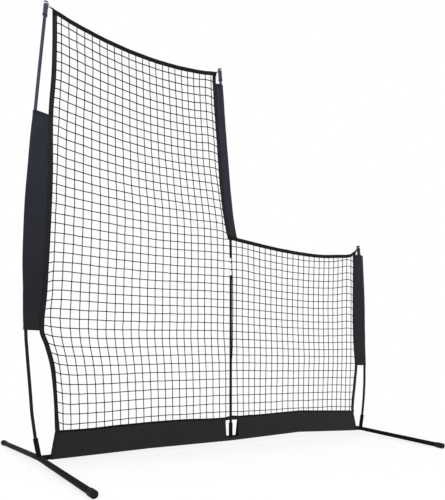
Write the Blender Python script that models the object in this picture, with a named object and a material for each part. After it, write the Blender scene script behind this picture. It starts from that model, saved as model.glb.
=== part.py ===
"""Portable L-shaped pitching net: bowed poles in a steel base, with a net hung between them.

Metres, +Z up. The net lies in the XZ plane, the thrower's side is -Y, and the origin is on the
ground in the middle of the base. The tall half is at -X and the cut-out above the short half at +X.
"""
import math
from collections import namedtuple

import bmesh
import bpy
from mathutils import Vector

# Overall sizes
FRAME_WIDTH = 2.128
TALL_TOP = 2.124
SHORT_TOP = 1.284
HUB_HEIGHT = 0.030
CENTRE_SHIFT = -0.011
CLEARANCE = 0.0003
SIDES = 16
RIM_BEVEL = 0.001
CUT_PAST = 0.002

# Legs: one tube forward and one back from each hub, turned a little from square
LEG_REACH = 0.620
LEG_FRONT_TURN = math.radians(8.0)
LEG_BACK_TURN = math.radians(9.8)
LEG_DIAMETER = 0.0254
TUBE_WALL = 0.0015
HUB_BARREL_HALF = 0.036
LEG_SPIGOT = 0.050

# Rubber caps on the leg ends
CAP_DIAMETER = 0.031
CAP_GRIP = 0.034
CAP_END = 0.004
CAP_ROUNDING = 0.003
SOLE_DEPTH = 0.0008

# Crossbar: four tubes between the hubs, lifted a little by the pull of the poles
BAR_DIAMETER = 0.024
BAR_SHOULDER = 0.0165
BAR_SPIGOT = 0.048
LEFT_JOINT_PLACE = 0.545
RIGHT_JOINT_PLACE = 0.516
LEFT_JOINT_LIFT = 0.0115
CENTRE_LIFT = 0.0125
RIGHT_JOINT_LIFT = 0.0265
SWAGE_LENGTH = 0.004
TEE_HALF = 0.040

# Pole sockets
SOCKET_DIAMETER = 0.0225
SOCKET_RISE = 0.092
SOCKET_LEAN = math.radians(10.5)
SOCKET_FLOOR = 0.004
TEE_SOCKET_RISE = 0.090
TEE_SOCKET_ROUNDING = 0.005

# Spring buttons that lock the legs and the bar ends
BUTTON_DIAMETER = 0.006
BUTTON_PROUD = 0.0025
BUTTON_CROWN = 0.0015
BUTTON_FLANGE = 0.0085
FLANGE_THICKNESS = 0.001
BUTTON_PLACE = 0.020
LEAF_LENGTH = 0.013
LEAF_WIDTH = 0.006
LEAF_THICKNESS = 0.0008
LEAF_SETBACK = 0.001
SPRING_BEND_SQUASH = 0.6

# Poles
POLE_DIAMETER = 0.015
TALL_TIP_INSET = 0.037
SHORT_TIP_INSET = 0.030
CENTRE_TIP_LEAN = 0.077
CENTRE_TIP_SLOPE = 0.085
# Bows of the side poles: (share of the free height, distance outside the hub line)
TALL_BOW = ((0.139, 0.043), (0.25, 0.058), (0.339, 0.0585), (0.487, 0.0505), (0.588, 0.040), (0.738, 0.0145))
SHORT_BOW = ((0.205, 0.039), (0.30, 0.0385), (0.411, 0.0315), (0.681, 0.0155))
FERRULE_DIAMETER = 0.018
FERRULE_LENGTH = 0.098
FERRULE_HEIGHT = 1.023
POLE_STEP = 0.12

# Caps and elastic loops on the pole tips
TIP_DIAMETER = 0.0205
TIP_LENGTH = 0.075
TIP_LIP = 0.008
TIP_LIP_STEP = 0.0004
TIP_BORE = 0.060
TIP_GROOVE_RADIUS = 0.0068
TIP_GROOVE = 0.0050
TIP_HEAD = 0.0080
CORD_DIAMETER = 0.003

# Net and the webbing around it
NET_THICKNESS = 0.003
WEB_WIDTH = 0.022
WEB_THICKNESS = 0.003
SIDE_SLANT = 1.06
NET_GAP = 0.0008
NET_STANDOFF = 0.0130
STANDOFF_FADE = 0.40
STANDOFF_START = 0.25
NET_ROW = 0.09
NET_COLUMN = 0.15
NET_STRAND = 0.012
ROWS_PER_OPENING = 2
SETTLING_PASSES = 12
TOP_CORNER_DROP = 0.034
TOP_CORNER_FALL = 0.010
TOP_SAG = 0.051
NOTCH_CORNER = 1.181
SHORT_CORNER_DROP = 0.052
# Sag of the low top webbing below the corner of the cut-out: (share of the way to the side, drop)
LOW_TOP_DROPS = ((0.33, 0.019), (0.62, 0.016), (0.81, -0.006), (0.90, -0.022))
# Side webbing's middle line: (share of the stretch, distance inside the hub line)
TALL_EDGE_BELOW = ((0.0, 0.081), (0.32, 0.076), (0.64, 0.061), (0.86, 0.035))
TALL_EDGE_BESIDE = ((0.0, 0.013), (0.19, 0.028), (0.69, 0.053))
TALL_EDGE_ABOVE = ((0.0, 0.056), (0.4, 0.070), (0.7, 0.074), (1.0, 0.075))
SHORT_EDGE_BELOW = ((0.0, 0.082), (0.30, 0.071), (0.66, 0.055))
SHORT_EDGE_BESIDE = ((0.0, 0.044), (0.17, 0.059), (0.40, 0.068), (0.87, 0.068))
SHORT_EDGE_ABOVE = ((1.0, 0.066),)
NOTCH_EDGE = ((0.0, 0.014), (0.08, 0.030), (0.18, 0.044), (0.35, 0.053), (0.65, 0.048), (1.0, 0.043))
NOTCH_EDGE_TOP = 0.036

# Fabric sleeves round the poles
TALL_SLEEVE_DROP = 0.512
TALL_SLEEVE_BOTTOM = 0.616
SHORT_SLEEVE_DROP = 0.072
SHORT_SLEEVE_BOTTOM = 0.465
CENTRE_SLEEVE_DROP = 0.096
CENTRE_SLEEVE_LIFT = 0.002
SLEEVE_SPARE = 0.0007
SLEEVE_WALL = 0.0015
SLEEVE_WING = 0.0032
SLEEVE_WING_LEAST = 0.0005
SLEEVE_END_STEP = 0.005
SHORT_SLEEVE_FLARE = 0.023
SHORT_FLARE_POWER = 2
CENTRE_SLEEVE_FLARE = 0.026
CENTRE_FLARE_POWER = 8

# Fabric band along the crossbar, with a window round the centre socket
BAND_RISE = 0.1165
BAND_PEAK = 0.007
BAND_PEAK_HALF = 0.055
BAND_THICKNESS = 0.0026
HEM_WALL = 0.0016
BAND_FLARE = 0.018
WINDOW_TOP_HALF = 0.043
WINDOW_BOTTOM_HALF = 0.034
WINDOW_TOP_MARGIN = 0.018
WINDOW_CORNER = 0.006

HUB_X = FRAME_WIDTH / 2
TALL_SLEEVE_TOP = TALL_TOP - TALL_SLEEVE_DROP
SHORT_SLEEVE_TOP = SHORT_TOP - SHORT_SLEEVE_DROP
CENTRE_SLEEVE_TOP = TALL_TOP - CENTRE_SLEEVE_DROP
CENTRE_SLEEVE_BOTTOM = NOTCH_CORNER + WEB_WIDTH / 2 + CENTRE_SLEEVE_LIFT
POLE_RADIUS = POLE_DIAMETER / 2
LEG_RADIUS = LEG_DIAMETER / 2
BAR_RADIUS = BAR_DIAMETER / 2
SOCKET_RADIUS = SOCKET_DIAMETER / 2
LEG_SPIGOT_RADIUS = LEG_RADIUS - TUBE_WALL - CLEARANCE
BAR_SPIGOT_RADIUS = BAR_RADIUS - TUBE_WALL - CLEARANCE
BUTTON_TRAVEL = BUTTON_PROUD + TUBE_WALL + CLEARANCE
LEFT, RIGHT = -1, 1
SIDE_NAME = {LEFT: "left", RIGHT: "right"}

Station = namedtuple("Station", "point along radius")


def clear_scene():
    for old in list(bpy.data.objects):
        bpy.data.objects.remove(old, do_unlink=True)


def material(name, colour, roughness, metallic=0.0):
    finish = bpy.data.materials.new(name)
    finish.use_nodes = True
    shader = finish.node_tree.nodes["Principled BSDF"]
    shader.inputs["Base Color"].default_value = (*colour, 1.0)
    shader.inputs["Roughness"].default_value = roughness
    shader.inputs["Metallic"].default_value = metallic
    return finish


def add_object(name, bm, finish=None, smooth=True):
    bmesh.ops.recalc_face_normals(bm, faces=bm.faces)
    mesh = bpy.data.meshes.new(name)
    bm.to_mesh(mesh)
    bm.free()
    if smooth:
        mesh.shade_smooth()
        mesh.set_sharp_from_angle(angle=math.radians(35))
    thing = bpy.data.objects.new(name, mesh)
    bpy.context.collection.objects.link(thing)
    if finish:
        mesh.materials.append(finish)
    return thing


def loft(rings, cyclic=False):
    """Skin over rings with equal point counts: a closed chain, or one with both ends filled."""
    bm = bmesh.new()
    loops = [[bm.verts.new(point) for point in ring] for ring in rings]
    count = len(rings[0])
    pairs = list(zip(loops, loops[1:]))
    if cyclic:
        pairs.append((loops[-1], loops[0]))
    for one, two in pairs:
        for i in range(count):
            j = (i + 1) % count
            bm.faces.new((one[i], one[j], two[j], two[i]))
    if not cyclic:
        bm.faces.new(loops[0])
        bm.faces.new(loops[-1])
    return bm


def round_ring(station, reference, sides=SIDES):
    """Circle square to the station's direction, with one point towards the reference."""
    along = station.along.normalized()
    up = (reference - along * reference.dot(along)).normalized()
    across = along.cross(up)
    ring = []
    for i in range(sides):
        turn = 2 * math.pi * i / sides
        ring.append(station.point + station.radius * (up * math.cos(turn) + across * math.sin(turn)))
    return ring


def round_bar(stations, reference, sides=SIDES):
    return loft([round_ring(s, reference, sides) for s in stations])


def round_tube(outer, inner, reference, sides=SIDES):
    rings = [round_ring(s, reference, sides) for s in outer + inner[::-1]]
    return loft(rings, cyclic=True)


def straight(start, end, radius):
    along = (end - start).normalized()
    return [Station(start, along, radius), Station(end, along, radius)]


def boolean(target, tool, operation):
    tool.hide_render = True
    tool.display_type = "WIRE"
    change = target.modifiers.new(tool.name, "BOOLEAN")
    change.object = tool
    change.operation = operation
    change.solver = "EXACT"


def smooth_line(points, first_slope=None):
    """Curve through (place, value) points, as a function of the place, level beyond both ends."""
    heights = [p[0] for p in points]
    values = [p[1] for p in points]
    slopes = []
    for i in range(len(points)):
        low, high = max(i - 1, 0), min(i + 1, len(points) - 1)
        slopes.append((values[high] - values[low]) / (heights[high] - heights[low]))
    if first_slope is not None:
        slopes[0] = first_slope

    def value_at(height):
        height = min(max(height, heights[0]), heights[-1])
        i = 0
        while i < len(points) - 2 and height > heights[i + 1]:
            i += 1
        span = heights[i + 1] - heights[i]
        return hermite(height, heights[i], span, values[i], values[i + 1], slopes[i], slopes[i + 1])

    return value_at


def hermite(place, start, span, first, last, first_slope, last_slope):
    t = (place - start) / span
    rise = 3 * t**2 - 2 * t**3
    lead = (t - 2 * t**2 + t**3) * first_slope * span
    trail = (t**3 - t**2) * last_slope * span
    return first + (last - first) * rise + lead + trail


def levels(bottom, top, step):
    count = max(2, math.ceil((top - bottom) / step))
    return [bottom + (top - bottom) * i / count for i in range(count + 1)]


# Crossbar line

def bar_points():
    return [
        Vector((-HUB_X, 0, HUB_HEIGHT)),
        Vector((-HUB_X + LEFT_JOINT_PLACE, 0, HUB_HEIGHT + LEFT_JOINT_LIFT)),
        Vector((CENTRE_SHIFT, 0, HUB_HEIGHT + CENTRE_LIFT)),
        Vector((CENTRE_SHIFT + RIGHT_JOINT_PLACE, 0, HUB_HEIGHT + RIGHT_JOINT_LIFT)),
        Vector((HUB_X, 0, HUB_HEIGHT)),
    ]


def bar_height(x):
    points = bar_points()
    for one, two in zip(points, points[1:]):
        if x <= two.x:
            break
    return one.z + (two.z - one.z) * (x - one.x) / (two.x - one.x)


def band_top(x):
    """Top edge of the band, lifted to a low peak where the centre pole passes behind it."""
    away = min(abs(x - CENTRE_SHIFT) / BAND_PEAK_HALF, 1.0)
    return bar_height(x) + BAND_RISE + BAND_PEAK * (1 - away)


# Pole lines, each a function that gives x at a height

def side_pole(top, bow, tip_inset):
    """Distance of a side pole outside the hub line: straight in its socket, then bowed."""
    mouth = HUB_HEIGHT + SOCKET_RISE
    slope = math.tan(SOCKET_LEAN)
    points = [(mouth, SOCKET_RISE * slope)]
    points += [(mouth + (top - mouth) * share, offset) for share, offset in bow]
    points.append((top, -tip_inset))
    free = smooth_line(points, slope)

    def offset_at(height):
        if height < mouth:
            return (height - HUB_HEIGHT) * slope
        return free(height)

    return offset_at


TALL_POLE_LINE = side_pole(TALL_TOP, TALL_BOW, TALL_TIP_INSET)
SHORT_POLE_LINE = side_pole(SHORT_TOP, SHORT_BOW, SHORT_TIP_INSET)


def tall_side_pole(height):
    return -HUB_X - TALL_POLE_LINE(height)


def short_side_pole(height):
    return HUB_X + SHORT_POLE_LINE(height)


def centre_pole(height):
    bend_start = FERRULE_HEIGHT
    if height < bend_start:
        return CENTRE_SHIFT
    tip = CENTRE_SHIFT - CENTRE_TIP_LEAN
    return hermite(height, bend_start, TALL_TOP - bend_start, CENTRE_SHIFT, tip, 0.0, -CENTRE_TIP_SLOPE)


def pole_station(pole, height, radius):
    reach = 0.002
    along = Vector((pole(height + reach) - pole(height - reach), 0, 2 * reach)).normalized()
    return Station(Vector((pole(height), 0, height)), along, radius)


# Net edges, each a function that gives the middle line of the webbing

def stretch(bottom, top, pairs):
    return [(bottom + (top - bottom) * share, inset) for share, inset in pairs]


def tall_edge(height):
    foot, corner = band_top(-HUB_X), top_corner_height()
    points = stretch(foot, TALL_SLEEVE_BOTTOM, TALL_EDGE_BELOW)
    points += stretch(TALL_SLEEVE_BOTTOM, TALL_SLEEVE_TOP, TALL_EDGE_BESIDE)
    points += stretch(TALL_SLEEVE_TOP, corner, TALL_EDGE_ABOVE)
    return -HUB_X + smooth_line(points)(height)


def short_edge(height):
    foot, corner = band_top(HUB_X), short_corner_height()
    points = stretch(foot, SHORT_SLEEVE_BOTTOM, SHORT_EDGE_BELOW)
    points += stretch(SHORT_SLEEVE_BOTTOM, SHORT_SLEEVE_TOP, SHORT_EDGE_BESIDE)
    points += stretch(SHORT_SLEEVE_TOP, corner, SHORT_EDGE_ABOVE)
    return HUB_X - smooth_line(points)(height)


def notch_edge(height):
    """Webbing beside the centre pole, which it crosses in front of at the corner of the cut-out."""
    points = stretch(NOTCH_CORNER - WEB_WIDTH / 2, CENTRE_SLEEVE_TOP, NOTCH_EDGE)
    points.append((notch_top_height(), NOTCH_EDGE_TOP))
    return centre_pole(height) - smooth_line(points)(height)


def top_corner_height():
    return TALL_TOP - TOP_CORNER_DROP + WEB_WIDTH / 2


def notch_top_height():
    """The net hangs a little lower from the centre pole than from the side pole."""
    return top_corner_height() - TOP_CORNER_FALL


def short_corner_height():
    return SHORT_TOP - SHORT_CORNER_DROP + WEB_WIDTH / 2


def top_edge(x):
    left, right = tall_edge(top_corner_height()), notch_edge(notch_top_height())
    t = (x - left) / (right - left)
    chord = top_corner_height() - TOP_CORNER_FALL * t - WEB_WIDTH / 2
    return chord - 4 * TOP_SAG * t * (1 - t)


def low_top_edge(x):
    start, end = CENTRE_SHIFT, HUB_X
    points = [(start, NOTCH_CORNER)]
    points += [(start + (end - start) * share, NOTCH_CORNER - drop) for share, drop in LOW_TOP_DROPS]
    points.append((short_edge(short_corner_height()), short_corner_height() - WEB_WIDTH / 2))
    return smooth_line(points)(x)


def notch_clear_height():
    """Height from which the cut-out's webbing stands beside the centre pole instead of before it."""
    return NOTCH_CORNER + STANDOFF_START * (CENTRE_SLEEVE_TOP - NOTCH_CORNER)


def net_y(x, height):
    """How far the cloth stands in front of the pole line: most at the centre pole, none at the sides."""
    middle = CENTRE_SHIFT
    side = -HUB_X if x < middle else HUB_X
    nearness = max(0.0, min(1.0, (x - side) / (middle - side)))
    fade = (notch_clear_height() + STANDOFF_FADE - height) / STANDOFF_FADE
    return -NET_STANDOFF * nearness * max(0.0, min(1.0, fade))


# Steel base

def leg_reach(forward):
    """Hub centre to cap end. The back leg is turned more, so it is longer: both feet stand equally far out."""
    if forward:
        return LEG_REACH
    return LEG_REACH * math.cos(LEG_FRONT_TURN) / math.cos(LEG_BACK_TURN)


def leg_direction(side, forward):
    """Unit vector from the hub along a leg; it falls so that the cap's sole meets the ground."""
    middle_of_cap = leg_reach(forward) - CAP_GRIP / 2
    fall = (HUB_HEIGHT - CAP_DIAMETER / 2 + SOLE_DEPTH) / middle_of_cap
    level = math.sqrt(1 - fall**2)
    sign = -1 if forward else 1
    turn = LEG_FRONT_TURN if forward else LEG_BACK_TURN
    return Vector((side * sign * math.sin(turn) * level, sign * math.cos(turn) * level, -fall))


def hub_centre(side):
    return Vector((side * HUB_X, 0, HUB_HEIGHT))


def bar_direction(side):
    points = bar_points()
    near, far = (points[0], points[1]) if side == LEFT else (points[4], points[3])
    return (far - near).normalized()


def socket_direction(side):
    return Vector((side * math.sin(SOCKET_LEAN), 0, math.cos(SOCKET_LEAN)))


def stepped_arm(centre, along, shoulder, end, body_radius, spigot_radius):
    """Stations of an arm that leaves the centre: body, step, then a thinner spigot."""
    return [
        Station(centre + along * shoulder, along, body_radius),
        Station(centre + along * shoulder, along, spigot_radius),
        Station(centre + along * end, along, spigot_radius),
    ]


def bent_bar(centre, one, two, shoulder, end, body_radius, spigot_radius):
    """Solid bar through a centre with a spigot at each end."""
    first = stepped_arm(centre, one, shoulder, end, body_radius, spigot_radius)
    second = stepped_arm(centre, two, shoulder, end, body_radius, spigot_radius)
    run = [Station(s.point, -s.along, s.radius) for s in first[::-1]]
    run.append(Station(centre, (two - one).normalized(), body_radius))
    return run + second


def bent_bore(centre, one, two, end, radius):
    through = end + CUT_PAST
    return [
        Station(centre + one * through, -one, radius),
        Station(centre, (two - one).normalized(), radius),
        Station(centre + two * through, two, radius),
    ]


def drill(target, name, start, end, radius, sides=SIDES):
    reference = Vector((0, 0, 1)) if abs((end - start).normalized().z) < 0.9 else Vector((0, 1, 0))
    boolean(target, add_object(name, round_bar(straight(start, end, radius), reference, sides)), "DIFFERENCE")


def button_line(centre, along, shoulder, outward):
    """Middle of a button on the tube's axis, and its outward direction square to the tube."""
    square = (outward - along * outward.dot(along)).normalized()
    return centre + along * (shoulder + BUTTON_PLACE), square


DOWN, BACK, UP = Vector((0, 0, -1)), Vector((0, 1, 0)), Vector((0, 0, 1))


def hub_joints(side):
    """The three plug-in joints of a hub: name, direction, shoulder, tube radius, way the button faces."""
    word = SIDE_NAME[side]
    return [
        ("front_" + word, leg_direction(side, True), HUB_BARREL_HALF, LEG_RADIUS, DOWN),
        ("back_" + word, leg_direction(side, False), HUB_BARREL_HALF, LEG_RADIUS, DOWN),
        ("bar_" + word, bar_direction(side), BAR_SHOULDER, BAR_RADIUS, BACK),
    ]


def make_hub(side, steel):
    word = SIDE_NAME[side]
    centre = hub_centre(side)
    back, front = leg_direction(side, False), leg_direction(side, True)
    end = HUB_BARREL_HALF + LEG_SPIGOT
    barrel = bent_bar(centre, back, front, HUB_BARREL_HALF, end, LEG_RADIUS, LEG_SPIGOT_RADIUS)
    hub = add_object("hub_" + word, round_bar(barrel, UP), steel)

    along = bar_direction(side)
    arm = [Station(centre, along, BAR_RADIUS)]
    arm += stepped_arm(centre, along, BAR_SHOULDER, BAR_SHOULDER + BAR_SPIGOT, BAR_RADIUS, BAR_SPIGOT_RADIUS)
    boolean(hub, add_object("hub_arm_" + word, round_bar(arm, UP)), "UNION")

    lean = socket_direction(side)
    top = centre + lean * (SOCKET_RISE / math.cos(SOCKET_LEAN))
    socket = straight(centre, top - lean * RIM_BEVEL, SOCKET_RADIUS)
    socket.append(Station(top, lean, SOCKET_RADIUS - RIM_BEVEL))
    boolean(hub, add_object("hub_socket_" + word, round_bar(socket, BACK)), "UNION")

    bore = bent_bore(centre, back, front, end, LEG_SPIGOT_RADIUS - TUBE_WALL)
    boolean(hub, add_object("hub_bore_" + word, round_bar(bore, UP)), "DIFFERENCE")
    drill(hub, "bar_bore_" + word, centre, centre + along * (BAR_SHOULDER + BAR_SPIGOT + CUT_PAST),
          BAR_SPIGOT_RADIUS - TUBE_WALL)
    drill(hub, "socket_bore_" + word, pole_floor(side), top + lean * CUT_PAST, POLE_RADIUS + CLEARANCE)
    for name, direction, shoulder, radius, outward in hub_joints(side):
        middle, square = button_line(centre, direction, shoulder, outward)
        drill(hub, "button_hole_" + name, middle, middle + square * (radius + CUT_PAST),
              BUTTON_DIAMETER / 2 + CLEARANCE, 12)


def pole_floor(side):
    lean = socket_direction(side)
    return hub_centre(side) + lean * (LEG_RADIUS + SOCKET_FLOOR)


def make_leg(side, forward, steel):
    name = ("front_" if forward else "back_") + SIDE_NAME[side]
    along = leg_direction(side, forward)
    centre = hub_centre(side)
    start = centre + along * (HUB_BARREL_HALF + CLEARANCE)
    end = centre + along * (leg_reach(forward) - CAP_END - CLEARANCE)
    tube = round_tube(straight(start, end, LEG_RADIUS), straight(start, end, LEG_RADIUS - TUBE_WALL), UP)
    leg = add_object("leg_" + name, tube, steel)
    middle, square = button_line(centre, along, HUB_BARREL_HALF, DOWN)
    drill(leg, "leg_hole_" + name, middle, middle + square * (LEG_RADIUS + CUT_PAST),
          BUTTON_DIAMETER / 2 + CLEARANCE, 12)


def make_foot_cap(side, forward, rubber):
    """Cup over the leg end with a flat sole, cut level with the ground."""
    along = leg_direction(side, forward)
    centre = hub_centre(side)
    bore = LEG_RADIUS + CLEARANCE
    outer = CAP_DIAMETER / 2
    end = centre + along * leg_reach(forward)
    floor = end - along * CAP_END
    mouth = floor - along * CAP_GRIP
    stations = [
        Station(floor, along, bore),
        Station(mouth, along, bore),
        Station(mouth, along, outer - RIM_BEVEL),
        Station(mouth + along * RIM_BEVEL, along, outer),
        Station(end - along * CAP_ROUNDING, along, outer),
        Station(end - along * CAP_ROUNDING * 0.3, along, outer - CAP_ROUNDING * 0.3),
        Station(end, along, outer - CAP_ROUNDING),
    ]
    bm = round_bar(stations, UP)
    cut = bmesh.ops.bisect_plane(bm, geom=bm.verts[:] + bm.edges[:] + bm.faces[:], plane_co=(0, 0, 0),
                                 plane_no=(0, 0, 1), clear_inner=True)
    edges = [e for e in cut["geom_cut"] if isinstance(e, bmesh.types.BMEdge)]
    bmesh.ops.contextual_create(bm, geom=edges)
    name = ("front_" if forward else "back_") + SIDE_NAME[side]
    add_object("foot_cap_" + name, bm, rubber)


def joint_gap(before, after):
    """Set-back of two tube ends that meet at a bend, so that their rims stay clear."""
    return CLEARANCE + BAR_RADIUS * math.tan(before.angle(after) / 2)


def make_outer_bar(side, steel):
    """Tube from the hub to the quarter joint, with a swaged spigot that follows the next tube."""
    word = SIDE_NAME[side]
    points = bar_points() if side == LEFT else bar_points()[::-1]
    along = (points[1] - points[0]).normalized()
    onward = (points[2] - points[1]).normalized()
    gap = joint_gap(along, onward)
    start = points[0] + along * (BAR_SHOULDER + CLEARANCE)
    end = points[1] - along * gap
    tip = points[1] + onward * BAR_SPIGOT
    bore = BAR_SPIGOT_RADIUS - TUBE_WALL
    outer = straight(start, end, BAR_RADIUS)
    outer += [Station(end, along, BAR_SPIGOT_RADIUS)]
    outer += straight(points[1] + onward * gap, tip, BAR_SPIGOT_RADIUS)
    inner = straight(start, end - along * SWAGE_LENGTH, BAR_RADIUS - TUBE_WALL)
    inner += [Station(end - along * SWAGE_LENGTH, along, bore)]
    inner += straight(points[1] + onward * gap, tip, bore)
    bar = add_object("crossbar_outer_" + word, round_tube(outer, inner, UP), steel)
    middle, square = button_line(points[0], along, BAR_SHOULDER, BACK)
    drill(bar, "bar_hole_" + word, middle, middle + square * (BAR_RADIUS + CUT_PAST),
          BUTTON_DIAMETER / 2 + CLEARANCE, 12)


def make_inner_bar(side, steel):
    points = bar_points() if side == LEFT else bar_points()[::-1]
    before = (points[1] - points[0]).normalized()
    along = (points[2] - points[1]).normalized()
    start = points[1] + along * joint_gap(before, along)
    end = points[2] - along * (TEE_HALF + CLEARANCE)
    bm = round_tube(straight(start, end, BAR_RADIUS), straight(start, end, BAR_RADIUS - TUBE_WALL), UP)
    add_object("crossbar_inner_" + SIDE_NAME[side], bm, steel)


def make_tee(steel):
    """Centre piece: a barrel with a spigot each way and an upright socket for the middle pole."""
    points = bar_points()
    centre = points[2]
    left, right = (points[1] - centre).normalized(), (points[3] - centre).normalized()
    end = TEE_HALF + BAR_SPIGOT
    barrel = bent_bar(centre, left, right, TEE_HALF, end, BAR_RADIUS, BAR_SPIGOT_RADIUS)
    tee = add_object("centre_tee", round_bar(barrel, UP), steel)
    top = centre + UP * TEE_SOCKET_RISE
    soft = TEE_SOCKET_ROUNDING
    socket = straight(centre, top - UP * soft, SOCKET_RADIUS)
    socket += [Station(top - UP * soft * 0.3, UP, SOCKET_RADIUS - soft * 0.3)]
    socket += [Station(top, UP, SOCKET_RADIUS - soft * 0.5)]
    boolean(tee, add_object("tee_socket", round_bar(socket, BACK)), "UNION")
    bore = bent_bore(centre, left, right, end, BAR_SPIGOT_RADIUS - TUBE_WALL)
    boolean(tee, add_object("tee_bore", round_bar(bore, UP)), "DIFFERENCE")
    drill(tee, "tee_socket_bore", centre + UP * (BAR_RADIUS + SOCKET_FLOOR), top + UP * CUT_PAST,
          POLE_RADIUS + CLEARANCE)


# Spring buttons

def box_sweep(profile, across, width):
    """Strip of a flat outline, extruded evenly to both sides."""
    half = across * width / 2
    return loft([[p - half for p in profile], [p + half for p in profile]])


def spigot_bore_inside(tube_radius):
    """Radius clear inside a spigot, up to the flats of its many-sided bore."""
    return (tube_radius - 2 * TUBE_WALL - CLEARANCE) * math.cos(math.pi / SIDES)


def flange_place(tube_radius):
    """Distance of the flange's outer face from the tube's axis, where its rim clears the bore."""
    return math.sqrt(spigot_bore_inside(tube_radius)**2 - (BUTTON_FLANGE / 2)**2) - CLEARANCE


def make_button(name, centre, along, shoulder, tube_radius, outward, plated):
    """Domed pin with a flange and the sprung leaf that it is riveted to, which moves with it."""
    middle, square = button_line(centre, along, shoulder, outward)
    pin = BUTTON_DIAMETER / 2
    flange_top = flange_place(tube_radius)
    flange_bottom = flange_top - FLANGE_THICKNESS
    crown = tube_radius + BUTTON_PROUD
    stations = [
        Station(middle + square * flange_bottom, square, BUTTON_FLANGE / 2),
        Station(middle + square * flange_top, square, BUTTON_FLANGE / 2),
        Station(middle + square * flange_top, square, pin),
        Station(middle + square * (crown - BUTTON_CROWN), square, pin),
        Station(middle + square * (crown - BUTTON_CROWN / 3), square, pin * 0.8),
        Station(middle + square * crown, square, pin * 0.4),
    ]
    button = add_object("snap_button_" + name, round_bar(stations, along, 12), plated)
    across = along.cross(square)
    top, bottom = flange_bottom + 0.0003, flange_bottom - LEAF_THICKNESS
    near, far = BUTTON_FLANGE / 2 - LEAF_SETBACK, -LEAF_LENGTH
    outline = [middle + along * s + square * r
               for s, r in ((near, bottom), (near, top), (far, top), (far, bottom))]
    leaf = add_object("button_leaf_" + name, box_sweep(outline, across, LEAF_WIDTH), smooth=False)
    boolean(button, leaf, "UNION")


def make_spring(name, centre, along, shoulder, tube_radius, outward, spring_steel):
    """Fixed half of the V spring: the bend, and the leg that rests on the far wall of the bore."""
    middle, square = button_line(centre, along, shoulder, outward)
    bore = spigot_bore_inside(tube_radius)
    leaf_middle = flange_place(tube_radius) - FLANGE_THICKNESS - LEAF_THICKNESS / 2
    rest_middle = LEAF_THICKNESS / 2 + 2 * CLEARANCE - math.sqrt(bore**2 - (LEAF_WIDTH / 2)**2)
    bend_place = -LEAF_LENGTH - CLEARANCE
    bend_middle = (leaf_middle + rest_middle) / 2
    bend_radius = (leaf_middle - rest_middle) / 2
    outside, inside = [], []
    for i in range(9):
        turn = math.pi * (0.5 + i / 8)
        for line, radius in ((outside, bend_radius + LEAF_THICKNESS / 2),
                             (inside, bend_radius - LEAF_THICKNESS / 2)):
            place = bend_place + radius * math.cos(turn) * SPRING_BEND_SQUASH
            line.append(middle + along * place + square * (bend_middle + radius * math.sin(turn)))
    foot = BUTTON_FLANGE / 2
    outside.append(middle + along * foot + square * (rest_middle - LEAF_THICKNESS / 2))
    inside.append(middle + along * foot + square * (rest_middle + LEAF_THICKNESS / 2))
    rings = []
    half = along.cross(square) * LEAF_WIDTH / 2
    for a, b in zip(outside, inside):
        rings.append([a - half, a + half, b + half, b - half])
    add_object("snap_spring_" + name, loft(rings), spring_steel)


# Poles and what they carry

def make_pole(name, pole, stops, fibre):
    """Round pole between the first and last stop, with a station at each stop."""
    heights = [stops[0]]
    for low, high in zip(stops, stops[1:]):
        heights += levels(low, high, POLE_STEP)[1:]
    stations = [pole_station(pole, height, POLE_RADIUS) for height in heights]
    add_object(name, round_bar(stations, BACK), fibre)


def make_ferrule(name, pole, finish):
    low, high = FERRULE_HEIGHT - FERRULE_LENGTH / 2, FERRULE_HEIGHT + FERRULE_LENGTH / 2
    heights = levels(low, high, FERRULE_LENGTH / 4)
    outer = [pole_station(pole, h, FERRULE_DIAMETER / 2) for h in heights]
    inner = [pole_station(pole, h, POLE_RADIUS + 2 * CLEARANCE) for h in heights]
    add_object(name, round_tube(outer, inner, BACK), finish)


def tip_frame(pole, top):
    station = pole_station(pole, top - TIP_LENGTH / 2, 0)
    end = Vector((pole(top), 0, top))
    return end, station.along


def make_tip_cap(name, pole, top, finish):
    """Moulded cap on a pole tip: a lip, a long body, a groove for the elastic loop and a domed head."""
    end, along = tip_frame(pole, top)
    radius = TIP_DIAMETER / 2
    mouth = -TIP_LENGTH
    groove_bottom = -TIP_HEAD - TIP_GROOVE
    shape = [
        (mouth + TIP_BORE, POLE_RADIUS + CLEARANCE),
        (mouth, POLE_RADIUS + CLEARANCE),
        (mouth, radius),
        (mouth + TIP_LIP, radius + TIP_LIP_STEP),
        (mouth + TIP_LIP + RIM_BEVEL, radius),
        (groove_bottom - RIM_BEVEL, radius),
        (groove_bottom, TIP_GROOVE_RADIUS),
        (-TIP_HEAD, TIP_GROOVE_RADIUS),
        (-TIP_HEAD + RIM_BEVEL, radius),
        (-TIP_HEAD * 0.45, radius * 0.95),
        (-TIP_HEAD * 0.15, radius * 0.7),
        (0.0, radius * 0.3),
    ]
    stations = [Station(end + along * place, along, r) for place, r in shape]
    add_object(name, round_bar(stations, BACK), finish)


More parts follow.
